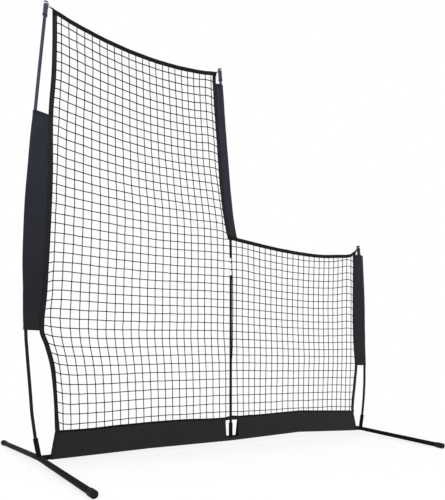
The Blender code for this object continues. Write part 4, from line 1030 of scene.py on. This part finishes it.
def make_sleeves(finish):
    chance = random.Random(5)
    web = WEB_WIDTH / 2 * SIDE_SLANT - SEAM_LAP
    snug = POLE_RADIUS + SLEEVE_SPARE
    cap = TIP_DIAMETER / 2 + TIP_LIP_STEP + SLEEVE_SPARE
    half = FERRULE_LENGTH / 2

    def tall_channel(z):
        return swell(z, FERRULE_HEIGHT - half, FERRULE_HEIGHT + half, snug, FERRULE_DIAMETER / 2 + SLEEVE_SPARE)

    def short_channel(z):
        return swell(z, SHORT_TOP - TIP_LENGTH - 0.004, SHORT_TOP, snug, cap)

    def tall_outer(z):
        return tall_side_pole(z) - snug - CLOTH_THICKNESS - TALL_LOOSE(z)

    def short_outer(z):
        share = (z - SHORT_SLEEVE_BOTTOM) / (SHORT_SLEEVE_TOP - SHORT_SLEEVE_BOTTOM)
        wing = SHORT_WING + SHORT_SLEEVE_FLARE * share**SHORT_FLARE_POWER
        return short_side_pole(z) + cap + SLEEVE_WALL * share + wing - (cap - snug) * (1 - share)

    def centre_outer(z):
        share = (CENTRE_SLEEVE_TOP - z) / (CENTRE_SLEEVE_TOP - CENTRE_SLEEVE_BOTTOM)
        flare = CENTRE_SLEEVE_FLARE * max(share, 0.0)**CENTRE_FLARE_POWER
        return centre_pole(z) + snug + SLEEVE_WALL + SLEEVE_WING_LEAST + flare + CENTRE_LOOSE(z)

    left = add_sleeve("left", tall_side_pole, TALL_SLEEVE_BOTTOM, TALL_SLEEVE_TOP,
                      lambda z: tall_edge(z) - web, tall_outer, tall_channel, finish, chance)
    right = add_sleeve("right", short_side_pole, SHORT_SLEEVE_BOTTOM, SHORT_SLEEVE_TOP + SHORT_SLEEVE_RISE,
                       lambda z: short_edge(z) + web, short_outer, short_channel, finish, chance)
    centre = add_sleeve("centre", centre_pole, CENTRE_SLEEVE_BOTTOM, CENTRE_SLEEVE_TOP + CENTRE_SLEEVE_RISE,
                        lambda z: min(notch_edge(z) + web, centre_pole(z) - snug - CENTRE_TIP_GAP), centre_outer,
                        lambda z: snug, finish, chance)
    return left, centre, right


# Band round the crossbar

BAND_STEP = 0.016
BAND_FOLD = 0.0024
BAND_FLARE_FADE = 0.08
BAND_CALM = 0.10
BINDING_RISE = 0.0010
BINDING_HALF = 0.0055
BINDING_HALF_THICKNESS = 0.0024
BINDING_INSET = WEB_WIDTH + 0.001
RIM_STEP = 0.006
RIM_SIDES = 8
RIM_OUT, RIM_HALF_WIDTH, RIM_HALF_THICKNESS = 0.0022, 0.0030, 0.0013
RIM_LOWEST = 0.0545
RIM_TAPE, RIM_EDGE = 0.016, 0.003
CUT_DEPTH = 0.04


def band_section(x):
    """Centre, radius and tip of the band's fold in the plane across the bar, as (depth, height)."""
    centre = Vector((0, bar_height(x)))
    tip = Vector((net_y(x, band_top(x)), band_top(x) - TIP_HALF - CLOTH_THICKNESS / 2))
    return centre, BAR_RADIUS + CLEARANCE + CLOTH_THICKNESS, tip


def band_layer(x, z, side):
    """Depth of the band's front (side -1) or back (side 1) at a height above the bar."""
    centre, radius, tip = band_section(x)
    normals = [unit(tangent_turn(centre, radius, tip, TIP_HALF, way)) for way in (-1, 1)]
    normal = max(normals, key=lambda one: one.x * side)
    return (radius - normal.y * (z - centre.y)) / normal.x


def window_outline():
    tee = bar_points()[2]
    top = band_top(tee.x) - WINDOW_TOP_MARGIN
    skin = BAR_RADIUS + CLEARANCE + HEM_WALL
    bottom = tee.z + skin + CLEARANCE
    cut = WINDOW_CORNER
    (left_low, right_low), (left, right) = WINDOW_BOTTOM, WINDOW_TOP
    corners = [(left_low, bottom), (right_low, bottom), (right, top - cut), (right - cut * 0.3, top - cut * 0.3),
               (right - cut, top), (left + cut, top), (left + cut * 0.3, top - cut * 0.3), (left, top - cut)]
    return [Vector((tee.x + x, z)) for x, z in corners]


def split_loop(points, step):
    made = []
    for one, two in zip(points, points[1:] + points[:1]):
        count = max(1, round((two - one).length / step))
        made += [one + (two - one) * i / count for i in range(count)]
    return made


def cut_window(band):
    """Cut the window through both layers of the band."""
    bm = bmesh.new()
    near = bm.faces.new([bm.verts.new((p.x, -CUT_DEPTH, p.y)) for p in window_outline()])
    made = bmesh.ops.extrude_face_region(bm, geom=[near], use_keep_orig=True)
    far = [item for item in made["geom"] if isinstance(item, bmesh.types.BMVert)]
    bmesh.ops.translate(bm, verts=far, vec=(0, 2 * CUT_DEPTH, 0))
    bmesh.ops.recalc_face_normals(bm, faces=bm.faces)
    mesh = bpy.data.meshes.new("window")
    bm.to_mesh(mesh)
    bm.free()
    cutter = add_object("window", mesh)
    change = band.modifiers.new("window", "BOOLEAN")
    change.object = cutter
    change.operation = "DIFFERENCE"
    change.solver = "EXACT"
    whole = bpy.data.meshes.new_from_object(band.evaluated_get(bpy.context.evaluated_depsgraph_get()))
    band.modifiers.clear()
    band.data = whole
    bpy.data.objects.remove(cutter)


def add_window_rim(word, side, finish):
    """Binding sewn round the window on the band's front (side -1) or back (side 1)."""
    loop = split_loop(window_outline(), RIM_STEP)
    middle = Vector((CENTRE_SHIFT, sum(p.y for p in loop) / len(loop)))
    rings = []
    for i, point in enumerate(loop):
        along = run_at(loop, i, closed=True)
        out = Vector((along.y, -along.x))
        if out.dot(point - middle) < 0:
            out = -out
        ring = []
        for c, s in circle(RIM_SIDES):
            spot = point + out * (RIM_OUT + RIM_HALF_WIDTH * c)
            depth = band_layer(spot.x, max(spot.y, RIM_LOWEST), side)
            ring.append(Vector((spot.x, depth + RIM_HALF_THICKNESS * s, spot.y)))
        rings.append(ring)
    rings.append(rings[0])
    rim = Shape()
    rim.skin(rings, lambda i, j: (j / RIM_SIDES * RIM_TAPE, RIM_STEP * i, RIM_EDGE, 1.0))
    return rim.finish("window_binding_" + word, finish, "webbing")


def make_band(finish, webbing):
    """The band with its window, and the bindings along its top and round the window."""
    chance = random.Random(3)
    left = tall_edge(band_top(-HUB_X)) - WEB_WIDTH / 2
    right = short_edge(band_top(HUB_X)) + WEB_WIDTH / 2
    waves = fold_waves(chance, BAND_FOLD)
    peak = [CENTRE_SHIFT + BAND_PEAK_HALF * side for side in (-1, 0, 1)]
    places = sorted(hem_levels(left, right, BAND_STEP) + peak + [p.x for p in bar_points()[1:4:2]])
    sections = []
    for x in places:
        centre, radius, tip = band_section(x)
        calm = clamp(abs(x - CENTRE_SHIFT) / BAND_CALM - 0.5)
        sections.append((centre, radius, [tip],
                         lambda side, end, share, folds=waves(x), calm=calm: calm * folds(side, end, share)))

    def to_space(p, i):
        x = places[i]
        low = clamp((band_top(x) - p.y) / (band_top(x) - bar_height(x)))
        near_left = max(0.0, 1 - (x - left) / BAND_FLARE_FADE)
        near_right = max(0.0, 1 - (right - x) / BAND_FLARE_FADE)
        return Vector((x + BAND_FLARE * low * (near_right - near_left), p.x, p.y))

    shape = Shape()
    width = folded_shell(shape, sections, to_space, [x - left for x in places])
    band = shape.finish("crossbar_band", finish, "band", "bottom_band")
    cut_window(band)
    trims = [add_window_rim("front", -1, webbing), add_window_rim("back", 1, webbing)]
    spots = sorted(levels(left + BINDING_INSET, right - BINDING_INSET, RIBBON_STEP) + [CENTRE_SHIFT])
    centres = [on_net(x, band_top(x)) + Vector((0, 0, BINDING_RISE)) for x in spots]
    edge = Shape()
    ribbon(edge, centres, [Vector((0, 0, BINDING_HALF))] * len(spots), BINDING_HALF_THICKNESS, chance, wave=0.0)
    trims.append(edge.finish("band_top_binding", webbing, "webbing"))
    return band, (width, right - left), trims


# Welds of the base

BEAD = 0.0016
BEAD_POINTS = 72
BEAD_SIDES = 8
BEAD_STEP = 0.001
BEAD_RIPPLE = 0.16  # share of the bead's size


def add_weld(word, centre, mains, main_radius, branch, branch_radius, finish):
    """Rippled bead where a branch tube meets a main one, which may be bent at its middle."""
    side = branch.cross(mains[0]).normalized()
    front = side.cross(branch)
    path = []
    for c, s in circle(BEAD_POINTS):
        spoke = (front * c + side * s) * branch_radius
        main = max(mains, key=lambda direction: direction.dot(spoke))
        flat_spoke, flat_branch = spoke - main * spoke.dot(main), branch - main * branch.dot(main)
        a, b = flat_branch.length_squared, flat_branch.dot(flat_spoke)
        rest = flat_spoke.length_squared - main_radius**2
        path.append(centre + spoke + branch * (math.sqrt(max(b * b - a * rest, 0.0)) - b) / a)
    shape = Shape()
    rings = rings_along(path, branch, BEAD_SIDES,
                        lambda i: [BEAD * (1.0 + BEAD_RIPPLE * math.sin(i * math.pi / 2))] * 2, closed=True)
    shape.skin(rings, lambda i, j: (j / BEAD_SIDES, i * BEAD_STEP, 1.0, 1.0))
    shape.finish("weld_" + word, finish, "black_steel")


def leg_direction(side, forward):
    """Unit vector from the hub along a leg, as in the solid model."""
    fall = (HUB_HEIGHT - CAP_DIAMETER / 2 + SOLE_DEPTH) / (LEG_REACH - CAP_GRIP / 2)
    level = math.sqrt(1 - fall**2)
    sign = -1 if forward else 1
    turn = LEG_FRONT_TURN if forward else LEG_BACK_TURN
    return Vector((side * sign * math.sin(turn) * level, sign * math.cos(turn) * level, -fall))


def make_welds(finish):
    hub_left, joint_left, tee, joint_right, hub_right = bar_points()
    for side, word, hub, joint in ((-1, "left", hub_left, joint_left), (1, "right", hub_right, joint_right)):
        legs = [leg_direction(side, True), leg_direction(side, False)]
        socket = Vector((side * math.sin(SOCKET_LEAN), 0, math.cos(SOCKET_LEAN)))
        add_weld("socket_" + word, hub, legs, LEG_RADIUS, socket, SOCKET_RADIUS, finish)
        add_weld("arm_" + word, hub, legs, LEG_RADIUS, (joint - hub).normalized(), BAR_RADIUS, finish)
    ways = [(joint - tee).normalized() for joint in (joint_left, joint_right)]
    add_weld("tee", tee, ways, BAR_RADIUS, Vector((0, 0, 1)), SOCKET_RADIUS, finish)


# Finishes: first the colours, linear

COAT = (0.0066, 0.0070, 0.0074)
RUBBER, DUST = (0.0055, 0.0055, 0.006), (0.018, 0.0175, 0.0165)
# Dark rod colour, and the same with a painted blue sheen for the upper rods
ROD_LOW, ROD_HIGH_SHEENED = (0.0100, 0.0103, 0.0108), (0.045, 0.0545, 0.084)
FERRULE_DARK, FERRULE_PALE, FERRULE_SCUFF = (0.80, 0.81, 0.83), (0.92, 0.92, 0.93), (0.55, 0.56, 0.58)
BUTTON_PLATE, SPRING_STEEL = (0.35, 0.35, 0.36), (0.30, 0.31, 0.33)
# Tall caps: dark plastic with a painted blue sheen; the short cap is plain black
CAP_BLUE_SHEENED, CAP_BLACK = (0.038, 0.046, 0.074), (0.026, 0.027, 0.028)
CORD_STRANDS = (0.085, 0.086, 0.092), (0.17, 0.172, 0.18)
CORD_RING = (0.72, 0.72, 0.73), (0.86, 0.86, 0.87)
TWINE_LAY = (0.0028, 0.0029, 0.0032), (0.0075, 0.0078, 0.0085)
TWINE_FADED = (0.0095, 0.0098, 0.0105)
TAPE_BORDER, TAPE_STITCH = (0.0035, 0.0036, 0.0042), (0.020, 0.020, 0.023)
# Upright tape: its colour, and the same with a painted blue sheen
UPRIGHT_TAPE = (0.0150, 0.0153, 0.0163), (0.0205, 0.0205, 0.0320)
CROSS_TAPE = (0.0078, 0.0080, 0.0086)
BAND_TAPE = (0.0110, 0.0116, 0.0126)
# Sleeve cloth: its colour, and the same with a painted blue sheen higher up
SLEEVE_LOW, SLEEVE_HIGH_SHEENED = (0.0115, 0.0130, 0.0165), (0.0195, 0.0238, 0.0400)
BAND_CLOTH = (0.0130, 0.0137, 0.0150)
FLOOR_WHITES = (0.93, 0.93, 0.93), (0.95, 0.95, 0.95)
# Heights over which the rods, the upright tapes and the sleeves turn bluer as a painted blue sheen, and the tapes' span
# across
ROD_SHEEN_CHANGE = (1.30, 1.60)
TAPE_SHEEN_CHANGE, TAPE_SHEEN_CHANGE_ACROSS = (0.9, 1.8), (-0.7, -0.3)
SLEEVE_SHEEN_CHANGE, BAND_CHANGE = (0.8, 1.7), (0.0, 1.0)
# Weave, borders and stitches; stitch rows are named by their distance from the cloth's edge or hem
TAPE_RIB, TAPE_THREAD = 0.0016, 0.0009
TAPE_BORDER_FADE = (0.0040, 0.0062)
TAPE_STITCH_ROW, TAPE_STITCH_LENGTH = 0.0046, 0.0042
SLEEVE_WEAVE, BAND_WEAVE = 0.0011, 0.0013
SLEEVE_HEM_SHADE, BAND_HEM_SHADE = 0.25, 0.4
HEM_FADE = 0.001
EDGE_FADE = (0.0025, 0.0050)
HEM_STITCH_ROW, EDGE_STITCH_ROW = 0.0025, 0.0075
CLOTH_STITCH_LENGTH = 0.0040
STITCH_HALF_WIDTH = 0.0004
CORD_PICKS, CORD_LAY = 300.0, 3.0
TWINE_TURNS, TWINE_STRANDS = 110.0, 3
HEAD_FADE = 0.0004
# Where most of a noise's values lie
NOISE_LOW, NOISE_HIGH = 0.3, 0.7


def darker(colour, share):
    return tuple(value * share for value in colour)


class Finish:
    """One material; each method but the last adds nodes and gives the sockets that they end in."""

    def __init__(self, name, roughness, metallic=0.0, specular=0.5, sheen=0.0):
        self.material = bpy.data.materials.new(name)
        self.material.use_nodes = True
        self.tree = self.material.node_tree
        self.shader = self.tree.nodes["Principled BSDF"]
        for key, value in (("Roughness", roughness), ("Metallic", metallic), ("Specular IOR Level", specular),
                           ("Sheen Weight", sheen)):
            self.shader.inputs[key].default_value = value

    def put(self, kind, sockets=None, **settings):
        """New node's outputs; its sockets are linked to other sockets or hold values."""
        made = self.tree.nodes.new(kind)
        for key, value in settings.items():
            setattr(made, key, value)
        for key, value in (sockets or {}).items():
            if isinstance(value, bpy.types.NodeSocket):
                self.tree.links.new(value, made.inputs[key])
            else:
                made.inputs[key].default_value = value
        return made.outputs

    def sum(self, operation, *values):
        return self.put("ShaderNodeMath", dict(enumerate(values)), operation=operation)[0]

    def times(self, one, two):
        return self.sum("MULTIPLY", one, two)

    def wave(self, value, length):
        return self.sum("SINE", self.times(value, 2 * math.pi / length))

    def ramp(self, value, low, high, to_low=0.0, to_high=1.0):
        return self.put("ShaderNodeMapRange", {"Value": value, "From Min": low, "From Max": high,
                                               "To Min": to_low, "To Max": to_high})["Result"]

    def spread(self, noise, to_low, to_high):
        return self.ramp(noise, NOISE_LOW, NOISE_HIGH, to_low, to_high)

    def speckle(self, place, scale, detail=3.0, rough=0.5):
        return self.put("ShaderNodeTexNoise", {"Vector": place, "Scale": scale, "Detail": detail,
                                               "Roughness": rough})["Fac"]

    def mix(self, share, one, two):
        ends = [end if isinstance(end, bpy.types.NodeSocket) else (*end, 1.0) for end in (one, two)]
        return self.put("ShaderNodeMix", {0: share, 6: ends[0], 7: ends[1]}, data_type="RGBA")[2]

    def shades(self, share, colour, dark, light):
        """Blend of two shades of one colour."""
        return self.mix(share, darker(colour, dark), darker(colour, light))

    def bump(self, height, distance, normal=None, strength=1.0):
        sockets = {"Height": height, "Distance": distance, "Strength": strength}
        if normal is not None:
            sockets["Normal"] = normal
        return self.put("ShaderNodeBump", sockets)["Normal"]

    def rounded(self, radius):
        """Surface direction softened across the flats of a faceted tube."""
        return self.put("ShaderNodeBevel", {"Radius": radius}, samples=6)[0]

    def place(self, stretch_by=(1, 1, 1)):
        place = self.put("ShaderNodeTexCoord")["Object"]
        return self.put("ShaderNodeMapping", {"Vector": place, "Scale": stretch_by})[0]

    def axes(self, vector):
        return self.put("ShaderNodeSeparateXYZ", {0: vector})

    def cloth(self, layer="cloth"):
        """Cloth coordinates: across and along, or from the layer "edge" the distances to its edge and end."""
        apart = self.axes(self.put("ShaderNodeUVMap", uv_map=layer)[0])
        return apart[0], apart[1]

    def wear(self, colour, roughness=None, normal=None):
        """Join the sockets to the shader; gives the material."""
        for key, value in (("Base Color", colour), ("Roughness", roughness), ("Normal", normal)):
            if value is not None:
                self.tree.links.new(value, self.shader.inputs[key])
        return self.material


def steel_finish():
    """Powder-coated steel: fine orange-peel surface with faint rubbed patches."""
    coat = Finish("powder_coat", 0.5, specular=0.018)
    place = coat.place()
    patches = coat.speckle(place, 9.0, 4.0)
    rubbed = coat.ramp(coat.speckle(coat.place((40, 40, 160)), 1.0, 5.0, 0.7), 0.62, 0.78)
    colour = coat.mix(coat.times(rubbed, 0.35), coat.shades(patches, COAT, 0.85, 1.2), darker(COAT, 2.4))
    peel = coat.bump(coat.speckle(place, 900.0, 2.0), 0.00012, coat.rounded(0.0045))
    return coat.wear(colour, coat.spread(patches, 0.42, 0.54), peel)


def rubber_finish():
    rubber = Finish("foot_rubber", 0.8, specular=0.2)
    place = rubber.place()
    dust = rubber.ramp(rubber.speckle(place, 60.0, 5.0, 0.6), 0.55, 0.8)
    grain = rubber.bump(rubber.speckle(place, 500.0, 3.0), 0.0002, rubber.rounded(0.004))
    return rubber.wear(rubber.mix(rubber.times(dust, 0.5), RUBBER, DUST), rubber.ramp(dust, 0.0, 1.0, 0.72, 0.9), grain)


def fibreglass_finish():
    """Pultruded rod: long fine streaks under a thin gloss, and bluer towards the tall tips, where the blue is a painted
    sheen.
    """
    rod = Finish("fibreglass", 0.35, specular=0.11)
    streaks = rod.speckle(rod.place((700, 700, 9)), 1.0)
    place = rod.place()
    cloud = rod.speckle(place, 14.0)
    # Painted blue sheen: the dark rod colour turns bluer higher up
    colour = rod.mix(rod.ramp(rod.axes(place)[2], *ROD_SHEEN_CHANGE), ROD_LOW, ROD_HIGH_SHEENED)
    shade = rod.sum("ADD", rod.spread(streaks, 0.68, 0.92), rod.spread(cloud, -0.12, 0.10))
    scaled = rod.put("ShaderNodeVectorMath", {0: colour, "Scale": shade}, operation="SCALE")[0]
    return rod.wear(scaled, rod.spread(cloud, 0.30, 0.42), rod.bump(streaks, 0.00008, rod.rounded(0.003)))


def ferrule_finish():
    bright = Finish("bright_ferrule", 0.3, 0.35)
    rings = bright.speckle(bright.place((6, 6, 1400)), 1.0, 2.0)
    scuffs = bright.ramp(bright.speckle(bright.place((60, 60, 200)), 1.0, 5.0), 0.6, 0.8)
    colour = bright.mix(bright.times(scuffs, 0.3), bright.mix(rings, FERRULE_DARK, FERRULE_PALE), FERRULE_SCUFF)
    return bright.wear(colour, bright.spread(rings, 0.26, 0.36), bright.bump(rings, 0.00005, bright.rounded(0.003)))


def metal_finish(name, colour, roughness):
    metal = Finish(name, roughness, 1.0)
    grain = metal.speckle(metal.place((900, 300, 900)), 1.0, 2.0)
    return metal.wear(metal.shades(grain, colour, 0.8, 1.15),
                      metal.spread(grain, roughness - 0.06, roughness + 0.08), metal.bump(grain, 0.00004))


def moulding_finish(name, colour):
    """Moulded plastic, darker at the cap's head."""
    plastic = Finish(name, 0.42, specular=0.13)
    place = plastic.place()
    cloud = plastic.speckle(place, 40.0)
    _, depth = plastic.cloth()
    head = plastic.ramp(depth, CAP_HEAD - HEAD_FADE, CAP_HEAD + HEAD_FADE, 1.0, 0.0)
    return plastic.wear(plastic.mix(head, plastic.shades(cloud, colour, 0.85, 1.15), darker(colour, 0.15)),
                        plastic.spread(cloud, 0.36, 0.50), plastic.bump(plastic.speckle(place, 1200.0, 2.0), 0.00006))


def elastic_finish():
    """Braided elastic cord: pale where it is stretched round the cap, darker and grubby on its two strands."""
    cord = Finish("elastic_cord", 0.8, specular=0.2)
    across, along = cord.cloth()
    ring, _ = cord.cloth("edge")
    turns, lay = cord.times(along, CORD_PICKS), cord.times(across, CORD_LAY)
    braid = cord.times(*(cord.wave(cord.sum(way, lay, turns), 1.0) for way in ("ADD", "SUBTRACT")))
    tone = cord.ramp(braid, -1, 1)
    colour = cord.mix(ring, cord.mix(tone, *CORD_STRANDS), cord.mix(tone, *CORD_RING))
    return cord.wear(colour, normal=cord.bump(braid, 0.00025))


def twine_finish():
    """Three-strand twisted twine."""
    twine = Finish("net_twine", 0.85, specular=0.1, sheen=0.03)
    across, along = twine.cloth()
    lay = twine.wave(twine.sum("ADD", twine.times(along, TWINE_TURNS), across), 1.0 / TWINE_STRANDS)
    place = twine.place()
    base = twine.mix(twine.ramp(lay, -1, 1), *TWINE_LAY)
    colour = twine.mix(twine.times(twine.speckle(place, 6.0), 0.4), base, TWINE_FADED)
    return twine.wear(colour, normal=twine.bump(twine.speckle(place, 700.0), 0.0002, twine.bump(lay, 0.0005)))


def webbing_finish(name, low_colour, high_sheened_colour):
    """Woven tape: herringbone ribs, darker stitched borders and a paler middle; the second colour is a painted blue
    sheen, high up on the left.
    """
    tape = Finish(name, 0.8, specular=0.10, sheen=0.02)
    across, along = tape.cloth()
    edge, _ = tape.cloth("edge")
    off_middle = tape.sum("ABSOLUTE", tape.sum("SUBTRACT", across, WEB_WIDTH / 2))
    ribs = tape.wave(tape.sum("ADD", along, off_middle), TAPE_RIB)
    weave = tape.sum("ADD", ribs, tape.times(tape.wave(across, TAPE_THREAD), 0.5))
    place = tape.place()
    tone, apart = tape.speckle(place, 5.0, 4.0), tape.axes(place)
    # Painted blue sheen: share of the second colour, high up and towards the left
    share = tape.times(tape.ramp(apart[2], *TAPE_SHEEN_CHANGE), tape.ramp(apart[0], *TAPE_SHEEN_CHANGE_ACROSS, 1.0, 0.0))
    middle = tape.mix(share, *(tape.shades(tone, colour, 0.8, 1.2) for colour in (low_colour, high_sheened_colour)))
    base = tape.mix(tape.ramp(edge, *TAPE_BORDER_FADE, 1.0, 0.0), middle, TAPE_BORDER)
    dash = tape.sum("GREATER_THAN", tape.wave(along, TAPE_STITCH_LENGTH), -0.35)
    stitch = tape.times(tape.sum("COMPARE", edge, TAPE_STITCH_ROW, STITCH_HALF_WIDTH), dash)
    return tape.wear(tape.mix(stitch, base, TAPE_STITCH),
                     normal=tape.bump(stitch, 0.0005, tape.bump(weave, 0.00035)))


def cloth_finish(name, low_colour, high_sheened_colour, change, weave_length, hem_shade):
    """Woven cloth with stitched hems; the colour shifts a little over a change of height (low, high), the higher colour
    being a painted blue sheen.
    """
    cloth = Finish(name, 0.8, specular=0.18, sheen=0.03)
    across, along = cloth.cloth()
    edge, end = cloth.cloth("edge")
    place = cloth.place()
    weave = cloth.times(cloth.wave(across, weave_length), cloth.wave(along, weave_length))
    tone = cloth.speckle(place, 7.0, 4.0, 0.6)
    # Painted blue sheen: the colour turns bluer higher up
    base = cloth.mix(cloth.ramp(cloth.axes(place)[2], *change), low_colour, high_sheened_colour)
    base = cloth.mix(cloth.times(tone, 0.5), base, darker(low_colour, 0.75))
    hem = cloth.sum("MAXIMUM", cloth.ramp(end, HEM_DEPTH - HEM_FADE, HEM_DEPTH, hem_shade, 0.0),
                    cloth.ramp(edge, *EDGE_FADE, hem_shade, 0.0))
    base = cloth.mix(hem, base, darker(low_colour, 0.30))
    rows = cloth.sum("MAXIMUM", cloth.sum("COMPARE", end, HEM_DEPTH - HEM_STITCH_ROW, STITCH_HALF_WIDTH),
                     cloth.sum("COMPARE", edge, EDGE_STITCH_ROW, STITCH_HALF_WIDTH))
    dashes = cloth.times(*(cloth.sum("GREATER_THAN", cloth.wave(way, CLOTH_STITCH_LENGTH), -0.3)
                           for way in (across, along)))
    stitch = cloth.times(rows, dashes)
    creases = cloth.bump(cloth.speckle(place, 28.0, 5.0, 0.55), 0.0035, strength=0.6)
    return cloth.wear(cloth.mix(stitch, base, darker(low_colour, 1.7)), cloth.spread(tone, 0.74, 0.86),
                      cloth.bump(stitch, 0.0006, cloth.bump(weave, 0.00022, creases)))


# Studio

FLOOR_GLOW = 0.74
FLOOR_FADE = (1.6, 3.0)
FLOOR_SIZE = 40.0
FLOOR_DROP = 0.0005
LIGHT_PLACE, LIGHT_TARGET = Vector((-2.6, -3.4, 3.2)), Vector((0, 0, 0.9))
LIGHT_SIZE, LIGHT_POWER = 2.4, 60
SENSOR = 36.0
CLIP_START = 0.05


def add_floor():
    """White floor that keeps a soft shadow near the net and runs into the white background."""
    white = Finish("studio_floor", 0.9, specular=0.0)
    place = white.place()
    away = white.put("ShaderNodeVectorMath", {0: place}, operation="LENGTH")["Value"]
    glow = white.put("ShaderNodeEmission", {"Color": (1, 1, 1, 1), "Strength": 1.0})[0]
    share = white.ramp(away, *FLOOR_FADE, FLOOR_GLOW)
    mixed = white.put("ShaderNodeMixShader", {0: share, 1: white.shader.outputs[0], 2: glow})[0]
    white.tree.links.new(mixed, white.tree.nodes["Material Output"].inputs["Surface"])
    mesh = bpy.data.meshes.new("studio_floor")
    corners = [(x * FLOOR_SIZE, y * FLOOR_SIZE, 0) for x, y in ((-1, -1), (1, -1), (1, 1), (-1, 1))]
    mesh.from_pydata(corners, [], [(0, 1, 2, 3)])
    mesh.materials.append(white.wear(white.mix(white.speckle(place, 3.0), *FLOOR_WHITES)))
    floor = add_object("studio_floor", mesh)
    floor.location.z = -FLOOR_DROP


def add_light():
    data = bpy.data.lights.new("key", "AREA")
    data.size = LIGHT_SIZE
    data.energy = LIGHT_POWER
    light = add_object("key", data)
    light.location = LIGHT_PLACE
    light.rotation_euler = (LIGHT_TARGET - LIGHT_PLACE).to_track_quat("-Z", "Y").to_euler()


def add_world():
    world = bpy.data.worlds.new("studio")
    world.use_nodes = True
    shade = world.node_tree.nodes["Background"]
    shade.inputs["Color"].default_value = (1, 1, 1, 1)
    shade.inputs["Strength"].default_value = 1.0
    bpy.context.scene.world = world
    bpy.context.scene.view_settings.view_transform = "Standard"


def add_camera():
    """Camera fitted to the photograph."""
    data = bpy.data.cameras.new("camera")
    camera = add_object("camera", data)
    right = Vector((math.cos(CAMERA_TURN), -math.sin(CAMERA_TURN), 0))
    level = Vector((math.sin(CAMERA_TURN), math.cos(CAMERA_TURN), 0))
    forward = level * math.cos(CAMERA_PITCH) + Vector((0, 0, math.sin(CAMERA_PITCH)))
    up = right.cross(forward)
    camera.matrix_world = Matrix([(*row, at) for row, at in zip(zip(right, up, -forward), CAMERA_PLACE)]
                                 + [(0, 0, 0, 1)])
    width, height = IMAGE_SIZE
    data.sensor_fit = "HORIZONTAL"
    data.sensor_width = SENSOR
    data.lens = SENSOR * FOCAL_PIXELS / width
    data.shift_x = (width / 2 - CENTRE_PIXEL[0]) / width
    data.shift_y = (CENTRE_PIXEL[1] - height / 2) / width
    data.clip_start = CLIP_START
    bpy.context.scene.camera = camera


def dress_solids(finishes):
    """Give each CAD node that stays in view its finish, by the start of its name."""
    for name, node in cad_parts.items():
        for start, finish in finishes.items():
            if name.startswith(start):
                for place in node.material_slots:
                    place.material = finish
                break


CORNER_TABS = {"left": "left", "top": "centre", "right": "right"}
RODS = {"sleeve_left": ("pole_left_upper", "pole_left_lower"), "sleeve_centre": ("pole_centre_upper",),
        "sleeve_right": ("pole_right",)}


def main():
    add_camera()
    add_world()
    add_floor()
    add_light()
    steel = steel_finish()
    upright = webbing_finish("webbing_upright", *UPRIGHT_TAPE)
    cross = webbing_finish("webbing_cross", CROSS_TAPE, CROSS_TAPE)
    dress_solids({
        "hub_": steel, "leg_": steel, "crossbar_": steel, "centre_tee": steel, "foot_cap_": rubber_finish(),
        "snap_button_": metal_finish("plated_button", BUTTON_PLATE, 0.3),
        "snap_spring_": metal_finish("spring_steel", SPRING_STEEL, 0.35),
        "ferrule_left": steel, "ferrule_centre": ferrule_finish(), "pole_": fibreglass_finish(),
    })
    make_welds(steel)
    net = make_net(twine_finish())
    tapes = make_webbing(upright, cross)
    tabs = make_tips(elastic_finish(), cross)
    make_caps(moulding_finish("moulded_cap_blue_sheened", CAP_BLUE_SHEENED), moulding_finish("moulded_cap_black", CAP_BLACK))
    sleeve_cloth = cloth_finish("sleeve_cloth", SLEEVE_LOW, SLEEVE_HIGH_SHEENED, SLEEVE_SHEEN_CHANGE, SLEEVE_WEAVE, SLEEVE_HEM_SHADE)
    band_cloth = cloth_finish("band_cloth", BAND_CLOTH, BAND_CLOTH, BAND_CHANGE, BAND_WEAVE, BAND_HEM_SHADE)
    sleeves = make_sleeves(sleeve_cloth)
    band, band_size, trims = make_band(band_cloth, webbing_finish("band_binding", BAND_TAPE, BAND_TAPE))

    for word, (tape, length) in tapes.items():
        sewn_on = [net] if word == "top" else []
        if word in CORNER_TABS:
            sewn_on.append(tabs[CORNER_TABS[word]])
    for sleeve, size in sleeves:
        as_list(RODS[sleeve.name])
    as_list(trims)


main()
